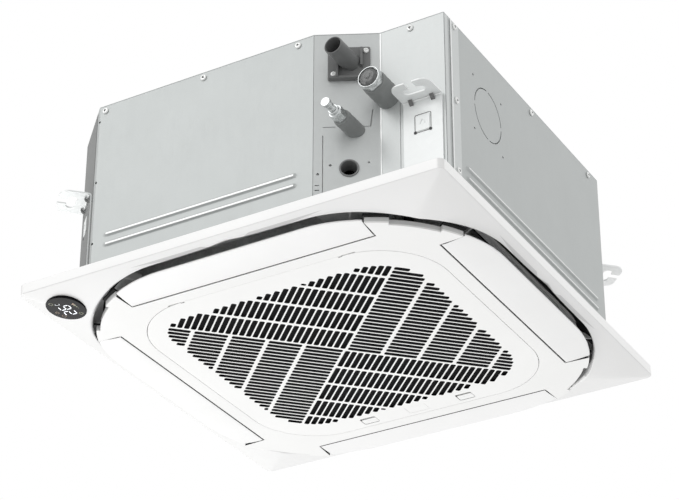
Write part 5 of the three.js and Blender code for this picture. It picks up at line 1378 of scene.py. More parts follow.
@dataclass
class Bracket:
    """A suspension bracket: an upright plate that folds out into a slotted ear."""

    half: float = 27.25
    reach: float = 42.0
    plate: float = 2.0
    foot: float = 36.8
    ear: float = 171.9
    bend: float = 3.0
    corner: float = 13.0
    seat: float = 23.5
    slot_length: float = 30.0
    slot_width: float = 12.0
    mouth: float = 11.0
    tab_level: float = 134.9
    shade_patch_level: float = 102.9
    piercing_x: float = 10.6
    piercing_drop: float = 12.4

    def skin(self) -> Skin:
        """The folded plate: its (outward, level) middle line is a quarter-circle bend between two flats.

        Returns:
            The plate in its wall's frame.
        """
        back = 0.3 + self.plate
        arc = np.linspace(0, math.pi / 2, 7)
        r = self.bend
        outer = [(-back, self.foot), (-back, self.ear - self.plate - r)]
        outer += [
            (-back - r + r * math.cos(a), self.ear - self.plate - r + r * math.sin(a)) for a in arc[1:]
        ]
        outer += [(-self.reach, self.ear - self.plate)]
        out = np.array(outer)
        way = np.gradient(out, axis=0)
        way /= np.linalg.norm(way, axis=1, keepdims=True)
        inner = out + np.column_stack([way[:, 1], -way[:, 0]]) * self.plate
        section = np.concatenate([out, inner[::-1]])
        x = np.linspace(-self.half, self.half, 3)
        rings = np.stack([np.column_stack([np.full(len(section), v), section]) for v in x])
        return capped(rings)

    def cutters(self) -> list[Skin]:
        """The rod slot with its mouth and the ear's round corners.

        Returns:
            The cutters in its wall's frame.
        """
        slot = rounded_box(self.slot_length / 2, self.slot_width / 2, self.slot_width / 2 - 0.01, 8)
        low, high = self.ear - 12, self.ear + 6
        mouth = block((-self.mouth / 2, -self.reach - 4, low), (self.mouth / 2, -self.seat, high))
        cuts = [prism(slot + np.array([0, -self.seat]), low, high), mouth]
        angle = np.linspace(0, math.pi / 2, 9)
        for side in (-1, 1):
            centre = np.array([side * (self.half - self.corner), -self.reach + self.corner])
            arc = centre + self.corner * np.column_stack([side * np.cos(angle), -np.sin(angle)])
            tip = np.array([[side * (self.half + 3), -self.reach - 3], [side * (self.half + 3), centre[1]]])
            loop = np.concatenate([arc, [[centre[0], -self.reach - 3]], tip])
            cuts.append(prism(loop if side < 0 else loop[::-1], low, high))
        return cuts

    def tab(self) -> Skin:
        """A lanced square tab standing a little proud of the upright plate, with a small arch on it.

        Returns:
            The tab round its own middle.
        """
        outline = rounded_box(9.6, 11.4, 1.2, 3)
        pad = pierced_plate(outline, [], 0, 1.1, 0.4, 2)
        t = np.linspace(0, math.pi, 13)
        arch = np.column_stack([3.1 * np.cos(t), 5.6 * np.sin(t) - 2.0, np.full(13, 1.3)])
        return merged(pad, swept(circle(0.6, 8), arch)).turned(90, "X")

    def tab_frame(self) -> Skin:
        """The shallow pressed frame round the tab: a half-round bead along a rounded square."""
        path = lifted(rounded_box(11.2, 13.0, 2.2, 5, 3), 0.0)
        return swept(circle(0.5, 8), path, closed=True).turned(90, "X")

    def gussets(self) -> Skin:
        """Two pressed stiffeners across the bend, each a small rounded wedge.

        Returns:
            Both wedges, open at the back.
        """
        wedges = []
        for x in (-15.0, 15.0):
            t = np.linspace(0, 1, 7)
            half = 2.9
            across = np.linspace(-half, half, 9)
            tt, aa = np.meshgrid(t, across, indexing="ij")
            crown = np.sqrt(np.clip(1 - (aa / half) ** 2, 0, 1))
            out = -2.3 - 6.0 * tt
            level = self.ear - self.plate - 6.0 * (1 - tt)
            lift = 2.2 * crown * np.sin(math.pi * tt)
            points = np.stack([x + aa, out - lift * ROOT_HALF - 0.01, level - lift * ROOT_HALF], -1)
            wedges.append(grid(points))
        return merged(*wedges)

    def pad(self) -> Skin:
        """Painted shade: a thin dark plate on the upright plate, below the tab and beside it."""
        outline = rounded_box(self.half - 0.6, 66.0, 1.5, 4)
        return pierced_plate(outline, [], 0.05, 0.5, 0.15, 2).turned(90, "X")

    def build(self, name: str, matrix: Matrix, shade_patched: bool = False) -> None:
        """Makes one bracket in a wall's frame.

        Args:
            name: of the bracket's pieces.
            matrix: its wall's frame.
            shade_patched: adds the thin dark plate of painted shade.
        """
        level = self.tab_level
        body = self.skin().placed(matrix)
        cuts = tuple(cut.placed(matrix) for cut in self.cutters())
        # The right bracket is wholly in the painted-highlight copy of the galvanised sheet: painted light,
        # lighter than the other three.
        look = Look.PAINTED_HIGHLIGHT if name == "bracket_right" else Look.BRACKET
        Piece(name, body, look, "bracket_steel", replaces=("suspension_" + name,), cutters=cuts,
              recalculate=True).make()
        face = -(0.3 + self.plate)
        # Painted shade: only the left bracket gets the thin dark plate on its upright plate.
        if shade_patched:
            pad = self.pad().moved(0, face, self.shade_patch_level).placed(matrix)
            Piece(name + "_shade_patch", pad, Look.SHADED_SHEET, "bracket_steel").make()
        tab = self.tab().moved(0, face, level).placed(matrix)
        Piece(name + "_tab", tab, Look.BRACKET, "bracket_steel").make()
        # Painted highlight along the ear's fold: a thin rod in the highlight copy of the galvanised sheet.
        fold = rounded_bar(0.8, -self.half + 0.6, self.half - 0.6, 12, 0.3).turned(90, "Y")
        fold = fold.moved(0, face - 2.1, self.ear - self.plate - 1.3)
        Piece(name + "_fold_highlight", fold.placed(matrix), Look.PAINTED_HIGHLIGHT, "bracket_steel").make()
        # Painted shade: the tab's pressed frame and the gussets take the dark shadow-line material.
        shaded = merged(self.tab_frame().moved(0, face, level), self.gussets())
        Piece(name + "_pressing_shadows", shaded.placed(matrix), Look.SEAM, "bracket_steel").make()
        # Painted shade: dark discs on the plate's face stand for the shade seen through the piercings.
        holes = []
        for x in (-self.piercing_x, self.piercing_x):
            spot = rounded_bar(2.1, -0.3, 0.8, 16, 0.1).turned(90, "X")
            holes.append(spot.moved(x, face, level - self.piercing_drop))
        Piece(name + "_piercing_shadows", merged(*holes).placed(matrix), Look.DARK, "bracket_steel").make()


# ---------------------------------------------------------------- pipe corner


@dataclass
class PipeCorner:
    """The drain spout, the two refrigerant pipes and the wire entry."""

    cabinet: Cabinet
    spout_tip: float = 311.0
    spout_radius: float = 12.5
    spout_bore: float = 10.8
    flange_along: float = 45.0
    flange_z: float = 245.7
    shelf_z: float = 222.4
    ring_bore: float = 10.4
    gas_tip: float = 300.0
    liquid_tip: float = 335.0

    def behind(self, gap: float) -> Skin:
        """Everything behind the slanted wall, as a cutter."""
        return self.cabinet.on_wall("slant", block((-60, -gap, 0), (200, 80, 340)), 0, 0)

    def spout(self) -> None:
        """The spout: a hollow tube with a flange plate and two ribs that carry it."""
        low, high = -self.cabinet.half + 38.1 + 9, self.spout_tip
        bore, radius = self.spout_bore, self.spout_radius
        tube = lathe([
            (bore, -low), (radius, -low), (radius, high - 1.2), (radius - 0.3, high - 0.4),
            (radius - 0.9, high), (bore + 0.5, high), (bore, high - 0.6),
        ], 48, closed=True)
        pipe = forwards(tube, SPOUT_X, SPOUT_Z)
        taper = ((-0.5, 246), (2.0, 246), (1.8, 259), (0.4, 263), (-0.5, 264))
        collar = lathe([(radius + past, along) for past, along in taper], 48, closed=True)
        collar = forwards(collar, SPOUT_X, SPOUT_Z)
        outline = rounded_box(27, 25.2, 2.2, 4)
        flange = pierced_plate(outline, [], 0.3, 2.8, 0.5).turned(90, "X")
        flange = self.cabinet.on_wall("slant", flange, self.flange_along, self.flange_z)
        ribs = [
            self.cabinet.on_wall("slant", block((-1.6, -9, foot), (1.6, 0, head), 0.2), along, self.flange_z)
            for along, foot, head in ((61.0, -6, 21), (30.0, -23, 4))
        ]
        shelf = block((-25.5, -8, -1.4), (25.5, 0, 1.4), 0.2)
        shelf = self.cabinet.on_wall("slant", shelf, self.flange_along, self.shelf_z)
        Piece("drain_tube", pipe, Look.GREY_PLASTIC, "grey_plastic", replaces=("drain_spout",)).make()
        Piece("drain_collar", collar, Look.GREY_PLASTIC, "grey_plastic", cutters=(self.behind(0.2),),
              recalculate=True).make()
        Piece("drain_flange", flange, Look.GREY_PLASTIC, "grey_plastic").make()
        Piece("drain_flange_ribs", merged(*ribs, shelf), Look.GREY_PLASTIC, "grey_plastic").make()
        heads = self.cabinet.screws([("slant", 66.5, 264.4, 3.8), ("slant", 25.5, 229.4, 3.8)])
        way = self.cabinet.walls["slant"].matrix().to_3x3() @ Vector((0, -2.6, 0))
        Piece("drain_flange_screws", heads.moved(*way), Look.SCREW, "galvanised_sheet").make()

    def hexagon(self, radius: float, low: float, high: float, chamfer: float = 1.0) -> Skin:
        """A hexagonal nut along +Z: the smaller of a hexagon and a chamfer cone, ring by ring.

        Args:
            radius: of its corners.
            low: level of its lower face.
            high: level of its upper face.
            chamfer: how far from each face the cone is followed closely.

        Returns:
            The closed nut.
        """
        angle = np.linspace(0, 2 * math.pi, 72, endpoint=False)
        sector = (angle + math.pi / 6) % (math.pi / 3) - math.pi / 6
        flat = radius * math.cos(math.pi / 6) / np.cos(sector)
        level = np.concatenate([low + np.linspace(0, chamfer, 4), high - np.linspace(chamfer, 0, 4)])
        near = np.minimum(level - low, high - level)
        slope = 1.73
        limit = radius * 0.9 + slope * near + 0.05
        reach = np.minimum(flat[None], limit[:, None])
        height = np.broadcast_to(level[:, None], reach.shape)
        points = np.stack([reach * np.cos(angle), reach * np.sin(angle), height], -1)
        return capped(points)

    def sleeve(
        self, name: str, x: float, z: float, radius: float, bore: float, start: float, end: float
    ) -> None:
        """A foam sleeve: a thick tube with soft, slightly uneven rims.

        Args:
            name: gas or liquid.
            x: of its axis.
            z: of its axis.
            radius: of its outside.
            bore: radius of its hole.
            start: distance of its hidden end along -Y.
            end: distance of its shown end along -Y.
        """
        level = np.linspace(start, end - 2.5, 16)
        wave = 0.25 * np.sin(level * 0.55 + radius)
        outer = [(radius - 0.25 + w, v) for w, v in zip(wave, level)]
        rim = [(radius - 0.9, end - 0.9), (radius - 2.6, end)]
        inner = [(bore + 1.2, end), (bore, end - 1.2), (bore, start)]
        skin = forwards(lathe([*outer, *rim, *inner], 48, closed=True), x, z)
        Piece(name + "_foam", skin, Look.SLEEVE, "pipe_foam", replaces=(name + "_pipe_sleeve",),
              cutters=(self.behind(0.3),), recalculate=True).make()

    def gas(self) -> None:
        """The gas pipe's nut with its translucent plug, and its sleeve."""
        x, z, tip = GAS_X, GAS_Z, self.gas_tip
        self.sleeve("gas", x, z, 16.8, 6.65, 240, tip - 11.3)
        nut = self.hexagon(15.9, tip - 11, tip - 4.2)
        rim = lathe([
            (7.0, tip - 10.6), (13.2, tip - 10.6), (14.7, tip - 4.2), (14.8, tip - 1.0), (14.5, tip - 0.2),
            (13.9, tip - 0.2), (13.6, tip - 0.6), (13.6, tip - 3.4), (7.0, tip - 3.4),
        ], 64, closed=True)
        Piece("gas_nut", forwards(nut, x, z), Look.NUT, "nut_metal", sharp=25,
              cutters=(forwards(prism(circle(12.6, 48), tip - 12, tip), x, z),), recalculate=True).make()
        Piece("gas_nut_rim", forwards(rim, x, z), Look.NUT, "nut_metal", replaces=("gas_flare_nut",)).make()
        plug = [(0.0, tip + 2.6), (3.4, tip + 2.5), (4.2, tip + 1.4), (8.4, tip + 1.1), (11.6, tip + 0.2),
                (13.3, tip - 1.6), (13.3, tip - 3.1), (0.0, tip - 3.1)]
        disc = forwards(lathe(plug, 10), x, z)
        Piece("gas_plug_disc", disc, Look.PLUG, "dark_plastic", replaces=("gas_plug",),
              recalculate=True, sharp=8).make()

    def liquid(self) -> None:
        """The liquid pipe's flare nut, its cap and its sleeve."""
        x, z, tip = LIQUID_X, LIQUID_Z, self.liquid_tip
        self.sleeve("liquid", x, z, 11.8, 3.5, 230, tip - 38.6)
        end = tip - 18.3
        nut = self.hexagon(9.63, end - 20, end - 6)
        neck = lathe([
            (3.6, end - 8), (7.6, end - 8), (7.6, end - 5.4), (7.0, end - 5.0), (7.0, end - 0.8),
            (6.4, end), (3.6, end),
        ], 40, closed=True)
        Piece("liquid_nut", forwards(merged(nut, neck), x, z), Look.NUT, "nut_metal", sharp=25,
              replaces=("liquid_flare_nut",), recalculate=True).make()
        low = tip - 18
        cap = lathe([
            (0.0, low), (5.0, low), (5.2, low + 0.4), (5.2, low + 3.4), (4.7, low + 4.0), (4.7, low + 4.8),
            (5.2, low + 5.4), (5.2, tip - 7.2), (4.8, tip - 6.6), (4.8, tip - 6.0), (6.1, tip - 5.0),
            (6.3, tip - 4.6), (6.3, tip - 0.6), (5.8, tip), (0.0, tip),
        ], 40)
        Piece("liquid_cap_turned", forwards(cap, x, z), Look.NUT, "nut_metal",
              replaces=("liquid_cap",)).make()

    def wires(self) -> None:
        """The wire entry's rubber ring: a rounded lip with a sleeve that goes through the sheet."""
        r = self.ring_bore
        ring = lathe([
            (r, -22), (r + 1.2, -22), (r + 1.2, 0.3), (r + 1.8, 0.3), (r + 2.2, 0.7), (r + 2.0, 1.5),
            (r + 1.3, 1.9), (r + 0.5, 1.7), (r, 1.1),
        ], 48, closed=True).turned(90, "X")
        ring = self.cabinet.on_wall("slant", ring, ENTRY_ALONG, ENTRY_Z)
        Piece("wire_ring", ring, Look.RING, "gasket_rubber", replaces=("cable_ring",)).make()

    def build(self) -> None:
        """Makes all the fittings of the pipe corner."""
        self.spout()
        self.gas()
        self.liquid()
        self.wires()


# ---------------------------------------------------------------- panel


@dataclass
class FasciaFrame:
    """The panel's outer frame: a rim and a face that sweeps down to the round throat."""

    half: float = 310.0
    corner: float = 9.0
    rim_low: float = 18.9
    depth: float = 33.5
    wall: float = 3.0
    throat_half: float = 294.0
    throat_corner: float = 191.0
    slope: float = 0.3
    bend: float = 0.00137
    bow: float = 0.5
    throat_top: float = 20.2
    roll: float = 5.5
    outlet: float = 186.0
    lean: float = 17.5
    display: float = 265.0
    display_tilt: float = 7.5
    display_radius: float = 26.8
    corner_steps: int = 32
    side_steps: int = 10

    def loop(self, half: float, radius: float) -> Array:
        """A rounded square with this frame's steps."""
        return rounded_square(half, radius, self.corner_steps, self.side_steps)

    def drop(self, point: Array) -> Array:
        """How far the face falls at throat points: a slope that eases off with distance from the rim."""
        far = self.half - np.max(np.abs(point), axis=-1)
        return far * (self.slope - self.bend * far)

    def level(self, share: Array | float, drop: Array | float) -> Array:
        """The face's height at a share of the way from the rim to the throat.

        It falls by drop along share, sooner on the diagonals: bow * share + (1 - bow) * share squared.

        Args:
            share: 0 at the rim, 1 at the throat.
            drop: the whole fall at that place.

        Returns:
            The height.
        """
        diagonal = self.throat_half - self.throat_corner * (1 - ROOT_HALF)
        side = self.drop(np.array([self.throat_half, 0.0]))
        most = self.drop(np.array([diagonal, diagonal]))
        bow = 1 + self.bow * (drop - side) / (most - side)
        return self.rim_low - drop * (bow * share + (1 - bow) * share**2)

    def face_ring(self, share: float, lift: float = 0.0) -> Array:
        """One ring of the face, or of its back when lifted.

        Args:
            share: 0 at the rim, 1 at the throat.
            lift: how far the back lies from the face.

        Returns:
            The ring's points.
        """
        outer = self.loop(self.half - lift, self.corner - lift)
        inner = self.loop(self.throat_half + lift, self.throat_corner + lift)
        plan = outer + (inner - outer) * share
        return np.column_stack([plan, self.level(share, self.drop(inner)) + lift])

    def roll_ring(self, turn: float) -> Array:
        """One ring of the rolled edge between face and throat: a quarter circle of the roll's radius.

        Args:
            turn: 0 on the face, pi / 2 at the throat.

        Returns:
            The ring's points.
        """
        outer = self.loop(self.half, self.corner)
        inner = self.loop(self.throat_half, self.throat_corner)
        run = inner - outer
        width = np.linalg.norm(run, axis=1)
        share = 1 - self.roll * (1 - math.sin(turn)) / width
        rise = self.roll * (1 - math.cos(turn))
        return np.column_stack([outer + run * share[:, None], self.level(share, self.drop(inner)) + rise])

    def level_ring(self, half: float, radius: float, level: float) -> Array:
        """A ring at one level."""
        return lifted(self.loop(half, radius), level)

    def skin(self) -> Skin:
        """The whole shell: rings from the rim's top, down, across the face, up the throat and back inside.

        Returns:
            The closed shell.
        """
        h, c, edge = self.half, self.corner, 0.8
        rings = [
            self.level_ring(h - inset, c - inset, level)
            for inset, level in (
                (edge * 0.4, self.depth), (0, self.depth - 0.4),
                (0, self.rim_low + edge), (0.25, self.rim_low + 0.25),
            )
        ]
        start = self.roll / (self.half - self.throat_half)
        shares = [0.045, *np.linspace(0.1, 1 - start - 0.03, 10)]
        rings += [self.face_ring(share) for share in shares]
        rings += [self.roll_ring(turn) for turn in np.linspace(0, math.pi / 2, 13)]
        rings.append(self.level_ring(self.throat_half, self.throat_corner, self.throat_top))
        for share in (0.25, 0.5, 0.75, 1.0):
            level = self.throat_top + share * (self.depth - self.throat_top)
            inset = self.lean * share**1.35
            rings.append(self.level_ring(self.throat_half - inset, self.throat_corner - inset, level))
        rings.append(self.level_ring(self.throat_half - self.lean + 12, 118, self.depth))
        rings.append(self.level_ring(self.throat_half + self.wall, self.throat_corner + self.wall,
                                     self.throat_top + self.wall))
        rings += [self.face_ring(share, self.wall) for share in (1.0, 0.5, 0.0)]
        rings.append(self.level_ring(h - self.wall, c - self.wall, self.depth))
        return grid(np.stack(rings), close_rows=True, close_columns=True)

    def shade_throat(self, frame_piece: bpy.types.Object) -> None:
        """Paints light and shade: a painted highlight on the rim, painted shade on the rolled edge of the
        front and right half, and painted shade in the throat, near black beside the outlets and at its top,
        mid-grey in the four corners.

        Args:
            frame_piece: the frame's object.
        """
        data = frame_piece.data
        for look in (Look.ROLL, Look.THROAT_EDGE, Look.THROAT, Look.THROAT_TOP, Look.RIM):
            data.materials.append(finish_of(look))
        count = len(data.polygons)
        centres, normals = np.empty(count * 3), np.empty(count * 3)
        data.polygons.foreach_get("center", centres)
        data.polygons.foreach_get("normal", normals)
        place = centres.reshape(-1, 3).T / MM
        shaded = place[0] > place[1]
        x, y, z = np.abs(place)
        upright = np.abs(normals.reshape(-1, 3)[:, 2]) < 0.3
        straight = self.throat_half - self.throat_corner
        past = np.hypot(np.maximum(x - straight, 0), np.maximum(y - straight, 0)) - self.throat_corner
        # Index 5: painted highlight on the rim; 1 and 2: painted shade on the rolled edge of the front and
        # right half; 3 and 4: painted shade in the throat, with 2 also mid-grey in the corners.
        index = np.zeros(count, np.int32)
        outlet = np.minimum(x, y) < self.outlet
        index[(past <= 4.4) & shaded & outlet & (z < self.depth - 0.5)] = 1
        index[(past <= 3.0) & shaded & (z < self.depth - 0.5)] = 2
        index[(past <= 1.2) & outlet & (z < self.depth - 0.5)] = 3
        index[(past <= 0.3) & (z > self.throat_top - 2.5) & (z < self.depth - 0.5)] = 4
        index[(past <= 0.3) & ~outlet & (z < self.depth - 4)] = 2
        index[(np.maximum(x, y) > self.half - 0.4) & upright] = 5
        data.polygons.foreach_set("material_index", index)

    def display_matrix(self) -> Matrix:
        """The plane of the display: its middle on the face, tilted along the diagonal.

        Returns:
            Its frame, with z into the panel.
        """
        rim = self.half - self.corner * (1 - ROOT_HALF)
        throat = self.throat_half - self.throat_corner * (1 - ROOT_HALF)
        share = (rim - self.display) / (rim - throat)
        most = self.drop(np.array([throat, throat]))
        place = Matrix.Translation((-self.display, -self.display, float(self.level(share, most))))
        return place @ Matrix.Rotation(math.radians(-self.display_tilt), 4, Vector((1, -1, 0)).normalized())

    def build(self, cabinet: Cabinet) -> None:
        """Makes the frame, with the hole for its display, its inner webs and its cover.

        Args:
            cabinet: whose outline the opening of the cover follows.
        """
        hole = prism(circle(self.display_radius + 0.35, 64), -12, 12).placed(self.display_matrix())
        made = Piece("fascia", self.skin(), Look.FASCIA, "white_plastic", replaces=("fascia_frame",),
                     cutters=(hole,), recalculate=True, sharp=40).make()
        self.shade_throat(made)
        half = self.throat_half - self.lean + 2
        ring = rounded_square(half, self.throat_corner - self.lean + 2, 16, 4)
        inner = filleted(cabinet.outline(9.6), 1.5, 2)
        cover = prism(ring, self.depth - self.wall, self.depth)
        Piece("fascia_cover", cover, Look.PANEL, "white_plastic", recalculate=True,
              cutters=(prism(inner, self.depth - self.wall - 2, self.depth + 2),)).make()
        web = block((299, -1.2, self.rim_low + 1.5), (345, 1.2, self.depth - 2), 0.3)
        webs = [web.turned(45 + spread).turned(quarter) for quarter in QUARTERS for spread in (-14, 14)]
        Piece("fascia_webs", merged(*webs), Look.PANEL, "white_plastic").make()


class Mark(Enum):
    """The seven strokes of a digit: middle (x, y) in a unit cell of 1 by 2, and whether it stands upright."""

    TOP = (0.5, 2.0, False)
    UPPER_RIGHT = (1.0, 1.5, True)
    LOWER_RIGHT = (1.0, 0.5, True)
    BOTTOM = (0.5, 0.0, False)
    LOWER_LEFT = (0.0, 0.5, True)
    UPPER_LEFT = (0.0, 1.5, True)
    MIDDLE = (0.5, 1.0, False)


@dataclass
class Display:
    """The round display: a polished lens with lit strokes and a few dim marks on its face."""

    fascia: FasciaFrame
    thickness: float = 3.0
    cell: float = 8.2
    stroke: float = 1.25

    two: ClassVar[tuple[Mark, ...]] = (Mark.TOP, Mark.UPPER_RIGHT, Mark.MIDDLE, Mark.LOWER_LEFT, Mark.BOTTOM)
    six: ClassVar[tuple[Mark, ...]] = (
        Mark.TOP, Mark.UPPER_LEFT, Mark.MIDDLE, Mark.LOWER_LEFT, Mark.LOWER_RIGHT, Mark.BOTTOM,
    )

    def stroke_skin(self, mark: Mark, x: float, y: float, size: float) -> Skin:
        """One stroke: a flat bar with pointed ends, a hair proud of the lens's face.

        Args:
            mark: which stroke.
            x: of the digit's lower left corner.
            y: of the same corner.
            size: of the digit's cell.

        Returns:
            The closed bar.
        """
        mx, my, upright = mark.value
        long, wide = size * 0.41, self.stroke / 2 * size / self.cell
        flat = long - wide
        bar = np.array([[-long, 0], [-flat, -wide], [flat, -wide], [long, 0], [flat, wide], [-flat, wide]])
        if upright:
            bar = np.column_stack([-bar[:, 1], bar[:, 0]])
        return prism(bar + np.array([x + mx * size, y + my * size]), -0.03, 0.2)

    def facing(self, skin: Skin) -> Skin:
        """Turns marks drawn with x to the right and y up so that they read from below.

        Args:
            skin: the drawn marks.

        Returns:
            The marks in the frame of the display's plane.
        """
        points = skin.points.copy()
        turned = np.column_stack([-points[:, 1], -points[:, 0], points[:, 2]])
        return Skin(turned, [face[::-1] for face in skin.faces])

    def ring(self, x: float, y: float, radius: float, wide: float) -> Skin:
        """A thin ring mark."""
        return wall_between(circle(radius - wide, 28), circle(radius, 28), -0.03, 0.2).moved(x, y)

    def build(self) -> None:
        """Makes the lens, the digits and the dim marks."""
        plane = self.fascia.display_matrix()
        radius = self.fascia.display_radius
        lens = lathe([
            (0.0, 0.0), (radius - 0.5, 0.02), (radius - 0.12, 0.15), (radius, 0.5), (radius, self.thickness),
            (radius - 3, self.thickness), (radius - 3, self.thickness + 3), (0.0, self.thickness + 3),
        ], 96)
        Piece("display_lens", lens.placed(plane), Look.LENS, "display_glass", replaces=("display",),
              recalculate=True).make()
        size = self.cell
        strokes = [self.stroke_skin(mark, -14.2, -size + 0.2, size) for mark in self.two]
        strokes += [self.stroke_skin(mark, -1.6, -size + 0.2, size) for mark in self.six]
        small = 3.1
        strokes += [
            self.stroke_skin(mark, 10.6, 2.4, small)
            for mark in (Mark.TOP, Mark.UPPER_LEFT, Mark.LOWER_LEFT, Mark.BOTTOM)
        ]
        digits = self.facing(merged(*strokes)).placed(plane)
        Piece("display_digits", digits, Look.DIGIT, "display_glass").make()
        amber = [self.ring(-14.5, 13.0, 3.0, 0.5), self.ring(-5.0, 17.5, 2.6, 0.6)]
        amber.append(prism(np.array([[3.5, -17.5], [9.5, -17.5], [6.5, -13.2]]), -0.03, 0.2))
        green = [self.ring(-16.0, -13.0, 2.8, 0.6), self.ring(15.5, 13.5, 2.9, 0.6)]
        green += [block((-4 + 3.2 * i, -18, -0.03), (-2.2 + 3.2 * i, -17.2 + i * 1.3, 0.2)) for i in range(3)]
        Piece("display_amber_marks", self.facing(merged(*amber)).placed(plane), Look.AMBER_MARK,
              "display_glass").make()
        Piece("display_green_marks", self.facing(merged(*green)).placed(plane), Look.GREEN_MARK,
              "display_glass").make()


@dataclass
class CentrePlate:
    """The plate round the intake: round outline, four flap bays, four corner slits."""

    half: float = 289.0
    corner: float = 186.0
    thickness: float = 2.5
    slit_depth: float = 5.0
    slit_angle: float = 10.5
    seam: float = 236.7
    flap_half: float = 179.9
    lean: float = 0.0514
    opening: float = 216.85
    opening_corner: float = 97.7
    lip_top: float = 8.1
    flap_axis: float = 240.8
    flap_level: float = 6.0
    barrel_room: float = 6.5
    hinge_room: float = 2.15
    hinge_reach: float = 138.5
    well_top: float = 16.0
    lug_start: float = 114.4
    lug_length: float = 4.4
    boss_start: float = 179.5
    boss_end: float = 186.8
    boss_half: float = 5.0

    def quarter(self) -> Array:
        """The outline round the corner between the right flap and the back flap, counter-clockwise.

        From the right bay's inner corner out to the arc, along it with the slit's notch, and in to the
        next bay.

        Returns:
            Its plan points.
        """
        centre = self.half - self.corner
        edge = self.flap_half + self.lean * (self.half - self.seam - 10)
        start = math.asin((edge - centre) / self.corner)
        notch = math.radians(self.slit_angle)
        mid = math.pi / 4
        inner = self.corner - self.slit_depth
        first = np.linspace(start, mid - notch, 10)
        dip = np.linspace(mid - notch, mid + notch, 9)
        last = np.linspace(mid + notch, math.pi / 2 - start, 10)
        angle = np.concatenate([first, dip, last])
        radius = np.concatenate([np.full(10, self.corner), np.full(9, inner), np.full(10, self.corner)])
        arc = centre + np.column_stack([radius * np.cos(angle), radius * np.sin(angle)])
        inward = np.array([[self.seam, self.flap_half]])
        return np.concatenate([inward, arc, inward[:, ::-1]])

    def outline(self) -> Array:
        """All four quarters.

        Returns:
            The closed loop, counter-clockwise.
        """
        quarter = self.quarter()
        turns = [np.array(Matrix.Rotation(math.radians(q), 2)) for q in QUARTERS]
        return np.concatenate([quarter @ turn.T for turn in turns])

    def lip(self) -> Skin:
        """The turned-up wall behind the outline: arcs only, four strips on the corners.

        Returns:
            The strips in one skin.
        """
        quarter = self.quarter()[1:-1]
        strips = []
        for q in QUARTERS:
            turn = np.array(Matrix.Rotation(math.radians(q), 2))
            line = quarter @ turn.T
            way = np.gradient(line, axis=0)
            way /= np.linalg.norm(way, axis=1, keepdims=True)
            normal = np.column_stack([way[:, 1], -way[:, 0]])
            outer, inner = line - normal * 0.02, line - normal * 2.0
            low, high = self.thickness * 0.6, self.lip_top
            section = [lifted(outer, low), lifted(outer, high), lifted(inner, high), lifted(inner, low)]
            strips.append(capped(np.stack(section, 1)))
        return merged(*strips)

    def seam_shadows(self) -> Skin:
        """Painted shade: dark strips on the ends of every flap's bay, a little back from the face, where the
        seams lie in shade.

        Returns:
            The strips in one skin.
        """
        strips = []
        for side in (-1, 1):
            middle = self.half - self.corner
            reach = middle + math.sqrt(self.corner**2 - (self.flap_half - middle) ** 2) - 2.0 - self.seam
            near = np.array([side * self.flap_half, -self.seam - 1.5])
            far = np.array([side * (self.flap_half + self.lean * reach), -self.seam - reach])
            wide = np.array([side * 0.5, 0.0])
            loop = np.stack([near - wide * 0.3, far - wide * 0.3, far + wide, near + wide])
            one = prism(loop if side < 0 else loop[::-1], 0.35, self.thickness)
            strips += [one.turned(q) for q in QUARTERS]
        return merged(*strips)

    def well(self) -> Skin:
        """The wall round the intake opening.

        Returns:
            The ring-shaped wall.
        """
        inner = rounded_square(self.opening, self.opening_corner, 16, 4)
        outer = rounded_square(self.opening + 2, self.opening_corner + 2, 16, 4)
        return wall_between(outer, inner, self.thickness * 0.6, self.well_top)

    def bearings(self) -> Skin:
        """Bosses at both ends of each flap's bay.

        Returns:
            The bosses in one skin.
        """
        parts = []
        for q in QUARTERS:
            for side in (-1, 1):
                x0, x1 = sorted((side * self.boss_start, side * self.boss_end))
                near, far = self.boss_half - self.flap_axis, -self.boss_half - self.flap_axis
                parts.append(block((x0, far, 1.2), (x1, near, 11), 0.6).turned(q))
        return merged(*parts)

    def lugs(self) -> Skin:
        """The two small lugs with the pins that the grille swings on.

        Returns:
            The lugs and pins in one skin.
        """
        parts = []
        for side in (-1, 1):
            low = self.lug_start if side > 0 else -self.lug_start - self.lug_length
            high = low + self.lug_length
            lug = crossbar(1.3, low, high, HINGE_Y, HINGE_Z, 20, 0.3)
            root = block((low, -220.2, 1.3), (high, -216.2, 2.6), 0.3)
            parts += [lug, root]
        return merged(*parts)

    def build(self) -> None:
        """Makes the plate with its lips, its well and its small bearings."""
        intake = rounded_square(self.opening, self.opening_corner, 24, 4)
        plate = pierced_plate(self.outline(), [intake], 0, self.thickness, 0.35)
        relief = crossbar(self.hinge_room, -self.hinge_reach, self.hinge_reach, HINGE_Y, HINGE_Z, 24, 0.1)
        barrel = crossbar(self.barrel_room, -self.flap_half, self.flap_half, -self.flap_axis,
                          self.flap_level, 48, 0.1)
        rounds = [barrel.turned(quarter) for quarter in QUARTERS]
        Piece("plate", plate, Look.PANEL, "white_plastic", replaces=("centre_plate",), sharp=30,
              cutters=(relief, *rounds), recalculate=True).make()
        # Painted shade: dark strips in the seams at the ends of the flaps' bays.
        Piece("plate_seam_shadows", self.seam_shadows(), Look.GAP_SHADOW, "white_plastic", recalculate=True).make()
        # The lips take the grey copy of the white plastic: painted shade.
        Piece("plate_lips", self.lip(), Look.LIP_SHADE, "white_plastic", recalculate=True).make()
        Piece("plate_well", self.well(), Look.PANEL, "white_plastic", cutters=(relief,),
              recalculate=True).make()
        Piece("plate_bearings", self.bearings(), Look.PANEL, "white_plastic").make()
        Piece("plate_lugs", self.lugs(), Look.PANEL, "white_plastic", recalculate=True).make()


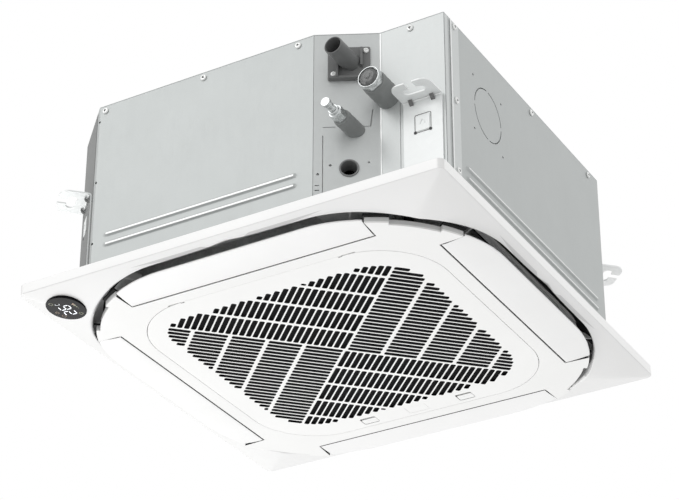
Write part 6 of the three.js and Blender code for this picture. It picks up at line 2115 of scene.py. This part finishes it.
@dataclass
class Flap:
    """An air flap: a curved blade on a round barrel, with a pin at each end."""

    half: float = 178.1
    seam: float = 238.4
    axis: float = 240.8
    barrel: float = 6.0
    outer: float = 289.0
    corner: float = 186.0
    lean: float = 0.0514
    rise: float = 4.6
    thickness: float = 2.4
    pin: float = 2.5
    pin_end: float = 184.0
    section_points: int = 54

    def edge(self, x: Array) -> Array:
        """Distance of the rounded outline from the middle at a place along the flap.

        Args:
            x: places along the flap.

        Returns:
            The distances.
        """
        straight = self.outer - self.corner
        past = np.clip(np.abs(x) - straight, 0, self.corner)
        return straight + np.sqrt(self.corner**2 - past**2)

    def low(self, far: Array) -> Array:
        """Height of the blade's lower face: it rises with the 1.5th power of the distance from the axis."""
        return self.rise * (np.clip(far, 0, None) / (self.outer - self.axis)) ** 1.5

    def skin(self) -> Skin:
        """The flap on the front side.

        Each section goes round the barrel, out along the lower face, round the edge and back on the upper
        face; its reach follows the outline, and its end line leans outwards with the distance from the seam.

        Returns:
            The closed blade.
        """
        ends = np.array([0.998, 0.9995, 1.0])
        inner = np.linspace(-1, 1, 61)
        v = np.concatenate([-ends[::-1], inner[1:-1], ends])
        turn = np.radians(np.linspace(90, 262, 15))
        round_part = np.column_stack([self.barrel * np.cos(turn), self.barrel + self.barrel * np.sin(turn)])
        t = np.linspace(0.02, 1, 15)
        sections = []
        for place in v * self.half:
            reach = float(self.edge(place)) - self.axis
            far = t * (reach - 0.5)
            lower = np.column_stack([far, self.low(far)])
            tip_low = self.low(np.array([reach]))[0]
            tip = np.array([[reach - 0.12, tip_low + 0.35], [reach, tip_low + 0.9], [reach, tip_low + 1.5],
                            [reach - 0.3, tip_low + 2.1]])
            upper = np.column_stack([far, self.low(far) + self.thickness])[::-1]
            upper = upper[upper[:, 0] > self.barrel * 0.7]
            share = np.linspace(0, 1, 7)[1:-1, None]
            bridge = upper[-1] + (round_part[0] - upper[-1]) * share
            section = np.concatenate([round_part, lower, tip, upper, bridge])
            sections.append(resample(section, self.section_points))
        shape = np.stack(sections)
        along = v[:, None] * (self.half + self.lean * np.clip(shape[..., 0] + self.axis - self.seam, 0, None))
        points = np.stack([along, -(self.axis + shape[..., 0]), shape[..., 1]], -1)
        return capped(points)

    def seam_shadow(self) -> Skin:
        """Painted shade in the seam: a dark arc on the barrel's inner side and a thin strip on both ends.

        Returns:
            The arc and the strips in one skin.
        """
        angle = np.radians(np.linspace(186, 253, 10))
        arcs = [
            np.column_stack([self.axis + r * np.cos(angle), self.barrel + r * np.sin(angle)])
            for r in (self.barrel + 0.06, self.barrel - 0.3)
        ]
        section = np.concatenate([arcs[0], arcs[1][::-1]])
        ends = [np.column_stack([np.full(len(section), x), -section[:, 0], section[:, 1]])
                for x in (-self.half, self.half)]
        parts = [capped(np.stack(ends))]
        reach = np.linspace(self.axis, float(self.edge(np.array(self.half))) - 1.5, 12)
        level = self.low(reach - self.axis)
        low = np.column_stack([reach, level + 0.35])
        high = np.column_stack([reach, level + self.thickness - 0.3])
        loop = np.concatenate([low, high[::-1]])
        across = self.half + self.lean * np.clip(loop[:, 0] - self.seam, 0, None)
        for side in (-1, 1):
            rings = [
                np.column_stack([side * (across + proud), -loop[:, 0], loop[:, 1]]) for proud in (-0.3, 0.1)
            ]
            parts.append(capped(np.stack(rings)))
        return merged(*parts)

    def build(self, name: str, body: Body, turn: float) -> None:
        """Makes one flap with its pins, turned to its side.

        Args:
            name: of the flap.
            body: what it rides on.
            turn: its side, in degrees from the front.
        """
        pins = crossbar(self.pin, -self.pin_end, self.pin_end, -self.axis, self.barrel, 24, 0.4)
        whole = merged(self.skin(), pins)
        Piece(name + "_blade", whole.turned(turn), Look.FLAP, "white_plastic", body, (name,),
              recalculate=True, sharp=38).make()
        # Painted shade: the dark strips in the flap's seam.
        Piece(name + "_seam_shadow", self.seam_shadow().turned(turn), Look.GAP_SHADOW, "white_plastic", body,
              recalculate=True).make()


def resample(loop: Array, count: int) -> Array:
    """Spreads a closed loop's points so that there are count of them, keeping the given ones' spacing.

    Args:
        loop: (n, 2) points.
        count: how many points it gets.

    Returns:
        (count, 2) points.
    """
    closed = np.concatenate([loop, loop[:1]])
    index = np.linspace(0, len(loop), count, endpoint=False)
    whole = np.arange(len(closed))
    return np.column_stack([np.interp(index, whole, closed[:, 0]), np.interp(index, whole, closed[:, 1])])


@dataclass
class Grille:
    """The intake grille: a plate with four fields of slots, its filter and its two latches."""

    half: float = 216.15
    corner: float = 97.0
    thickness: float = 2.5
    rim: float = 2.5
    rim_top: float = 10.0
    field_x: float = 187.0
    field_y: float = 182.0
    field_corner: float = 72.0
    tight_corner: float = 50.0
    pitch: float = 9.2
    width: float = 6.8
    cell: float = 50.2
    rib: float = 2.2
    left_shift: float = 5.5
    shortest: float = 7.4
    hinge: float = 1.5
    slot_plate: float = 0.7
    latch_x: float = 75.5
    latch_y: float = 200.0
    lug_x: float = 116.5
    lug_room: float = 2.6
    flat_end: float = 0.8

    def field(self, x: Array, y: Array) -> Array:
        """Signed distance to the edge of the slotted field, negative inside.

        Args:
            x: plan coordinates.
            y: plan coordinates.

        Returns:
            The distances.
        """
        corner = np.where((x < 0) & (y < 0), self.tight_corner, self.field_corner)
        dx = np.abs(x) - self.field_x + corner
        dy = np.abs(y) - self.field_y + corner
        inside = np.minimum(np.maximum(dx, dy), 0)
        return np.hypot(np.maximum(dx, 0), np.maximum(dy, 0)) + inside - corner

    def slots(self) -> Array:
        """Every slot's rounded outline, as (slots, points, 2), counter-clockwise.

        In coordinates along the two diagonals each quarter is a lattice of cells one pitch by one cell;
        a slot runs along its cell, and its ends are drawn in to the field's edge.

        Returns:
            The outlines.
        """
        rows = math.ceil(self.field_x * math.sqrt(2) / self.pitch)
        cells = math.ceil(self.field_x * math.sqrt(2) / self.cell)
        offset, number = np.meshgrid(
            (np.arange(-rows, rows) + 0.5) * self.pitch, np.arange(-cells, cells), indexing="ij"
        )
        offset, number = offset.ravel(), number.ravel()
        reach = (self.rib + self.width) / 2
        sample = np.linspace(0, 1, 121)
        outlines = []
        for across, along, front in (((1, 1), (1, -1), True), ((1, -1), (1, 1), False)):
            shift = 0.0 if front else self.left_shift
            low = number * self.cell - (number < 0) * shift + reach
            high = (number + 1) * self.cell - (number + 1 < 0) * shift - reach
            a, b = np.array(across) * ROOT_HALF, np.array(along) * ROOT_HALF
            middle = offset[:, None] * a + ((low + high) / 2)[:, None] * b
            kept = (np.abs(middle[:, 1]) > np.abs(middle[:, 0])) == front
            far = low[kept, None] + (high - low)[kept, None] * sample
            place = offset[kept, None, None] * a + far[..., None] * b
            inside = self.field(place[..., 0], place[..., 1]) <= -self.width / 2
            first = np.where(inside, far, np.inf).min(1)
            last = np.where(inside, far, -np.inf).max(1)
            good = last - first >= self.shortest - self.width
            outlines.append(self.stadiums(offset[kept][good], first[good], last[good], a, b))
        return np.concatenate(outlines)

    def stadiums(self, offset: Array, first: Array, last: Array, across: Array, along: Array) -> Array:
        """Rounded bars from first to last along one direction: half circles joined by straight sides.

        Args:
            offset: each bar's distance across.
            first: start of each bar's middle line.
            last: end of each bar's middle line.
            across: unit vector across the bars.
            along: unit vector along the bars.

        Returns:
            (bars, points, 2), counter-clockwise.
        """
        half = self.width / 2
        round_half = half - self.flat_end
        angle = np.linspace(-math.pi / 2, math.pi / 2, 7)
        corner = np.sign(np.sin(angle)) * self.flat_end
        end = np.column_stack([round_half * np.cos(angle) * 0.75, round_half * np.sin(angle) + corner])
        ahead = last[:, None, None] * along + offset[:, None, None] * across
        astern = first[:, None, None] * along + offset[:, None, None] * across
        one = ahead + end[None, :, :1] * along + end[None, :, 1:] * across
        two = astern - end[None, :, :1] * along - end[None, :, 1:] * across
        loops = np.concatenate([one, two], 1)
        area = np.cross(loops[0, 1] - loops[0, 0], loops[0, 2] - loops[0, 0])
        return loops if area > 0 else loops[:, ::-1]

    def outline(self) -> Array:
        """The plate's outline, drawn back at both hinge lugs.

        Returns:
            The loop, counter-clockwise.
        """
        loop = rounded_square(self.half, self.corner, 24, 1)
        room = []
        for x in (-self.lug_x, self.lug_x):
            low, high = x - self.lug_room, x + self.lug_room
            room += [[low, -self.half], [low, -self.half + 2], [high, -self.half + 2], [high, -self.half]]
        split = int(np.argmax((loop[:, 1] <= -self.half + 1e-6) & (loop[:, 0] < 0)))
        return np.concatenate([loop[: split + 1], room, loop[split + 1 :]])

    def by_latch(self, x: float, half_x: float, half_y: float, radius: float, corner: int = 4,
                 side: int = 1) -> Array:
        """A rounded box in line with the latches, as plan points."""
        return rounded_box(half_x, half_y, radius, corner, side) + np.array([x, self.latch_y])

    def build(self) -> None:
        """Makes the plate, its rim and hinge bead, and the blank between the latches."""
        latches = (-self.latch_x, self.latch_x)
        windows = [self.by_latch(x, 12, 9, 2.6, 5) for x in latches]
        holes = [*self.slots(), *windows, self.by_latch(0, 15.5, 9, 1.5)]
        plate = pierced_plate(self.outline(), holes, 0, self.slot_plate, 0.15, 1)
        slot = "grille_plastic"
        made = Piece("grille_plate", plate, Look.GRILLE, slot, Body.GRILLE, ("intake_grille",),
                     sharp=50).make()
        self.darken_walls(made)
        outer = rounded_square(self.half - 0.02, self.corner, 24, 4)
        inner = rounded_square(self.half - self.rim, self.corner - self.rim, 24, 4)
        rim = wall_between(outer, inner, self.slot_plate * 0.5, self.rim_top)
        y = -self.half
        clear = block((-121, y - 2, 0), (121, y + 4, 14))
        holes = [block((x - 6.3, self.half - 4, 2.8), (x + 6.3, self.half + 2, 7)) for x in latches]
        Piece("grille_rim", rim, Look.GRILLE, slot, Body.GRILLE, cutters=(clear, *holes),
              recalculate=True).make()
        bead = crossbar(self.hinge, -114, 114, y, self.hinge, 24, 0.3)
        bridge = block((-113.4, y, 0.3), (113.4, y + 3.4, 3.0), 0.2)
        rails = [
            block((x + side * 16.5 - 1, 189, 0.6), (x + side * 16.5 + 1, 215, 7), 0.2)
            for x in latches for side in (-1, 1)
        ]
        Piece("grille_hinge_bead", merged(bead, bridge), Look.GRILLE, slot, Body.GRILLE).make()
        Piece("grille_rails", merged(*rails), Look.GRILLE, slot, Body.GRILLE).make()
        blank = pierced_plate(self.by_latch(0, 15.2, 8.7, 1.3), [], 0.12, 1.6, 0.2)
        backing = pierced_plate(self.by_latch(0, 17.5, 11, 1.3), [], 0.9, 2.4, 0.2)
        y = self.latch_y
        ledges = [block((x - 12.6, y - 9.8, 1.8), (x + 12.6, y - 4.8, 2.5), 0.2) for x in latches]
        Piece("grille_blank", merged(blank, backing, *ledges), Look.GRILLE, slot, Body.GRILLE).make()
        # Painted shadow lines: thin dark rings round the latch windows.
        window_shadow_lines = [
            swept(circle(0.22, 6), lifted(self.by_latch(x, 11.7, 8.7, 2.3, 5, 2), 0.24), True)
            for x in latches
        ]
        Piece("grille_window_shadow_lines", merged(*window_shadow_lines), Look.SEAM, slot, Body.GRILLE, recalculate=True).make()

    def darken_walls(self, plate: bpy.types.Object) -> None:
        """Paints shade on the upright walls of the slots: a near-black material on them.

        Args:
            plate: the plate's object.
        """
        data = plate.data
        data.materials.append(finish_of(Look.SLOT_SHADE))
        count = len(data.polygons)
        normals, centres = np.empty(count * 3), np.empty(count * 3)
        data.polygons.foreach_get("normal", normals)
        data.polygons.foreach_get("center", centres)
        normals, centres = normals.reshape(-1, 3), centres.reshape(-1, 3) / MM
        wall = (np.abs(normals[:, 2]) < 0.9) & (self.field(centres[:, 0], centres[:, 1]) < 2)
        data.polygons.foreach_set("material_index", wall.astype(np.int32))

    def latch(self, name: str, body: Body, x: float) -> None:
        """One sliding latch: a pad with a raised arrow, its slider and its tongue.

        Args:
            name: of the latch.
            body: what it rides on.
            x: of its middle.
        """
        pad = pierced_plate(rounded_box(11.6, 6.4, 2.0, 5) + np.array([0, 2.2]), [], 0.35, 1.6, 0.4)
        neck = block((-8, 0.5, 1.3), (8, 8.0, 3.0), 0.3)
        slider = pierced_plate(rounded_box(14.2, 7.2, 0.8, 3) + np.array([0, 4.3]), [], 2.8, 5.2, 0.3)
        tongue = block((-6, 9, 3.1), (6, 15.9, 5.2), 0.6)
        arrow = prism(np.array([[-3.2, 0.8], [3.2, 0.8], [0, 4.4]]), 0.15, 0.6)
        whole = merged(pad, neck, slider, tongue, arrow).moved(x, self.latch_y)
        Piece(name + "_slide", whole, Look.GRILLE, "grille_plastic", body, (name,)).make()


# ---------------------------------------------------------------- carried-over nodes


CARRIED: dict[str, Look] = {
    "foam_liner": Look.LINER,
    "drain_pan": Look.LINER,
    "heat_exchanger": Look.FINS,
    "coil_end_plate_front": Look.END_PLATE,
    "coil_end_plate_right": Look.END_PLATE,
    "bell_mouth": Look.FAN,
    "motor_plate": Look.SHEET,
    "fan_motor": Look.MOTOR,
    "motor_shaft": Look.SHAFT,
    "impeller": Look.FAN,
    "impeller_nut": Look.NUT,
    "pump_housing": Look.PUMP,
    "pump_motor": Look.DARK,
    "pump_impeller": Look.PUMP,
    "drain_hose": Look.HOSE,
    "float_stem": Look.PUMP,
    "float": Look.PUMP,
    "control_box": Look.SHEET,
    "control_box_lid": Look.SHEET,
    "circuit_board": Look.BOARD,
    "gas_pipe": Look.COPPER,
    "liquid_pipe": Look.COPPER,
    "panel_base": Look.BASE,
    "air_filter": Look.NET,
    **{"panel_bolt_" + place: Look.SCREW for place in ("right", "back", "left", "pipe_corner")},
    **{"flap_motor_" + place: Look.MOTOR for place in ("front", "right", "back", "left")},
}


def dress_carried() -> None:
    """Gives every frame node that stays in view its finish."""
    for name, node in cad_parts.items():
        look = CARRIED.get(name, Look.PANEL)
        node.data.materials.clear()
        node.data.materials.append(finish_of(look))
        if not node.hide_render:
            log.info("%s keeps its solid, finished as %s", name, look.value.name)


# ---------------------------------------------------------------- studio and camera


@dataclass
class Studio:
    """A plain pale room: a floor far below, soft lamps and a white surround."""

    floor_level: float = -5.4
    floor_half: float = 16.0
    ambient: float = 0.88
    floor_tone: float = 0.8
    sensor: float = 36.0
    focal_pixels: float = 2336.4
    picture_width: float = 679.0
    eye: tuple[float, float, float] = (1.3693, -2.3771, -1.4609)
    view_angles: tuple[float, float, float] = (30.1118, -30.4855, 0.0963)
    aim: tuple[float, float, float] = (0.0, 0.0, 0.12)

    def lamp(self, name: str, place: Sequence[float], size: float, power: float) -> None:
        """A square soft lamp at a place in metres that looks at the unit.

        Args:
            name: of the lamp.
            place: where it stands.
            size: its edge, in metres.
            power: in watts.
        """
        data = bpy.data.lights.new(name, "AREA")
        data.shape = "SQUARE"
        data.size = size
        data.energy = power
        made = bpy.data.objects.new(name, data)
        made.location = place
        way = Vector(self.aim) - Vector(place)
        made.rotation_mode = "QUATERNION"
        made.rotation_quaternion = way.to_track_quat("-Z", "Y")
        bpy.context.scene.collection.objects.link(made)

    def world(self) -> None:
        """White to the camera and through clear pieces, a plain level as light."""
        world = bpy.data.worlds.new("surround")
        bpy.context.scene.world = world
        world.use_nodes = True
        tree = world.node_tree
        back = tree.nodes["Background"]
        back.inputs["Color"].default_value = (1, 1, 1, 1)
        path = tree.nodes.new("ShaderNodeLightPath")
        seen = tree.nodes.new("ShaderNodeMath")
        seen.operation = "MAXIMUM"
        tree.links.new(path.outputs["Is Camera Ray"], seen.inputs[0])
        tree.links.new(path.outputs["Is Transmission Ray"], seen.inputs[1])
        spread = tree.nodes.new("ShaderNodeMapRange")
        spread.inputs[3].default_value = self.ambient
        spread.inputs[4].default_value = 1.0
        tree.links.new(seen.outputs[0], spread.inputs[0])
        tree.links.new(spread.outputs[0], back.inputs["Strength"])

    def floor(self) -> None:
        """A large pale floor."""
        h = self.floor_half / MM
        loop = np.array([[-h, -h], [h, -h], [h, h], [-h, h]])
        made = mesh_object("floor", Skin(lifted(loop, self.floor_level / MM), [(0, 1, 2, 3)]))
        tone = self.floor_tone
        paint = Paint("floor_paint", Base_Color=(tone, tone, tone, 1), Roughness=0.9)
        paint.colour(paint.ramp(paint.noise(400, 3), (0.3, (tone - 0.01,) * 3), (0.7, (tone + 0.01,) * 3)))
        light = paint.tree.nodes.new("ShaderNodeEmission")
        path = paint.tree.nodes.new("ShaderNodeLightPath")
        mix = paint.tree.nodes.new("ShaderNodeMixShader")
        seen = paint.math("MULTIPLY", path.outputs["Is Camera Ray"], 0.8)
        paint.tree.links.new(seen, mix.inputs[0])
        paint.tree.links.new(paint.shader.outputs[0], mix.inputs[1])
        paint.tree.links.new(light.outputs[0], mix.inputs[2])
        paint.tree.links.new(mix.outputs[0], paint.tree.nodes["Material Output"].inputs[0])
        made.data.materials.append(paint.material)

    def camera(self) -> None:
        """The photograph's view: from below and in front of the pipe corner, with a long lens."""
        azimuth, elevation, roll = (math.radians(angle) for angle in self.view_angles)
        flat = math.cos(elevation)
        back = Vector((math.sin(azimuth) * flat, -math.cos(azimuth) * flat, math.sin(elevation)))
        right = Vector((0, 0, 1)).cross(back).normalized()
        up = back.cross(right)
        turned_right = right * math.cos(roll) + up * math.sin(roll)
        turned_up = up * math.cos(roll) - right * math.sin(roll)
        data = bpy.data.cameras.new("camera")
        data.sensor_width = self.sensor
        data.lens = self.focal_pixels * self.sensor / self.picture_width
        data.clip_start, data.clip_end = 0.05, 60
        made = bpy.data.objects.new("camera", data)
        axes = Matrix((turned_right, turned_up, back)).transposed()
        made.matrix_world = Matrix.Translation(self.eye) @ axes.to_4x4()
        bpy.context.scene.collection.objects.link(made)
        bpy.context.scene.camera = made

    def build(self) -> None:
        """Sets up the room."""
        self.camera()
        self.world()
        self.floor()
        self.lamp("front_lamp", place=(-1.9, -3.4, 2.2), size=3.0, power=38)
        self.lamp("under_lamp", place=(-2.6, 1.1, -2.5), size=2.8, power=78)
        self.lamp("back_lamp", place=(1.9, 3.4, 2.3), size=3.0, power=7)
        bpy.context.scene.view_settings.view_transform = "Standard"


def main() -> None:
    """Builds the studio, the cabinet, the pipe corner and the panel, in that order."""
    logging.basicConfig(level=logging.INFO, format="%(message)s")
    Studio().build()
    cabinet = Cabinet()
    cabinet.build()
    bracket = Bracket()
    walls = cabinet.walls
    spots = (
        ("bracket_left", walls["left_corner"], walls["left_corner"].length / 2),
        ("bracket_pipe_corner", walls["recess"], 61.25),
        ("bracket_right", walls["right_corner"], walls["right_corner"].length / 2),
        ("bracket_back", walls["back_corner"], walls["back_corner"].length / 2),
    )
    for name, wall, along in spots:
        bracket.build(name, wall.matrix(along), name == "bracket_left")
    PipeCorner(cabinet).build()
    fascia = FasciaFrame()
    fascia.build(cabinet)
    Display(fascia).build()
    CentrePlate().build()
    flap = Flap()
    sides = (
        ("flap_front", Body.FRONT_FLAP), ("flap_right", Body.RIGHT_FLAP),
        ("flap_back", Body.BACK_FLAP), ("flap_left", Body.LEFT_FLAP),
    )
    for (name, body), turn in zip(sides, QUARTERS):
        flap.build(name, body, turn)
    grille = Grille()
    grille.build()
    grille.latch("latch_left", Body.LEFT_LATCH, -grille.latch_x)
    grille.latch("latch_right", Body.RIGHT_LATCH, grille.latch_x)
    dress_carried()


if __name__ == "__main__":
    main()
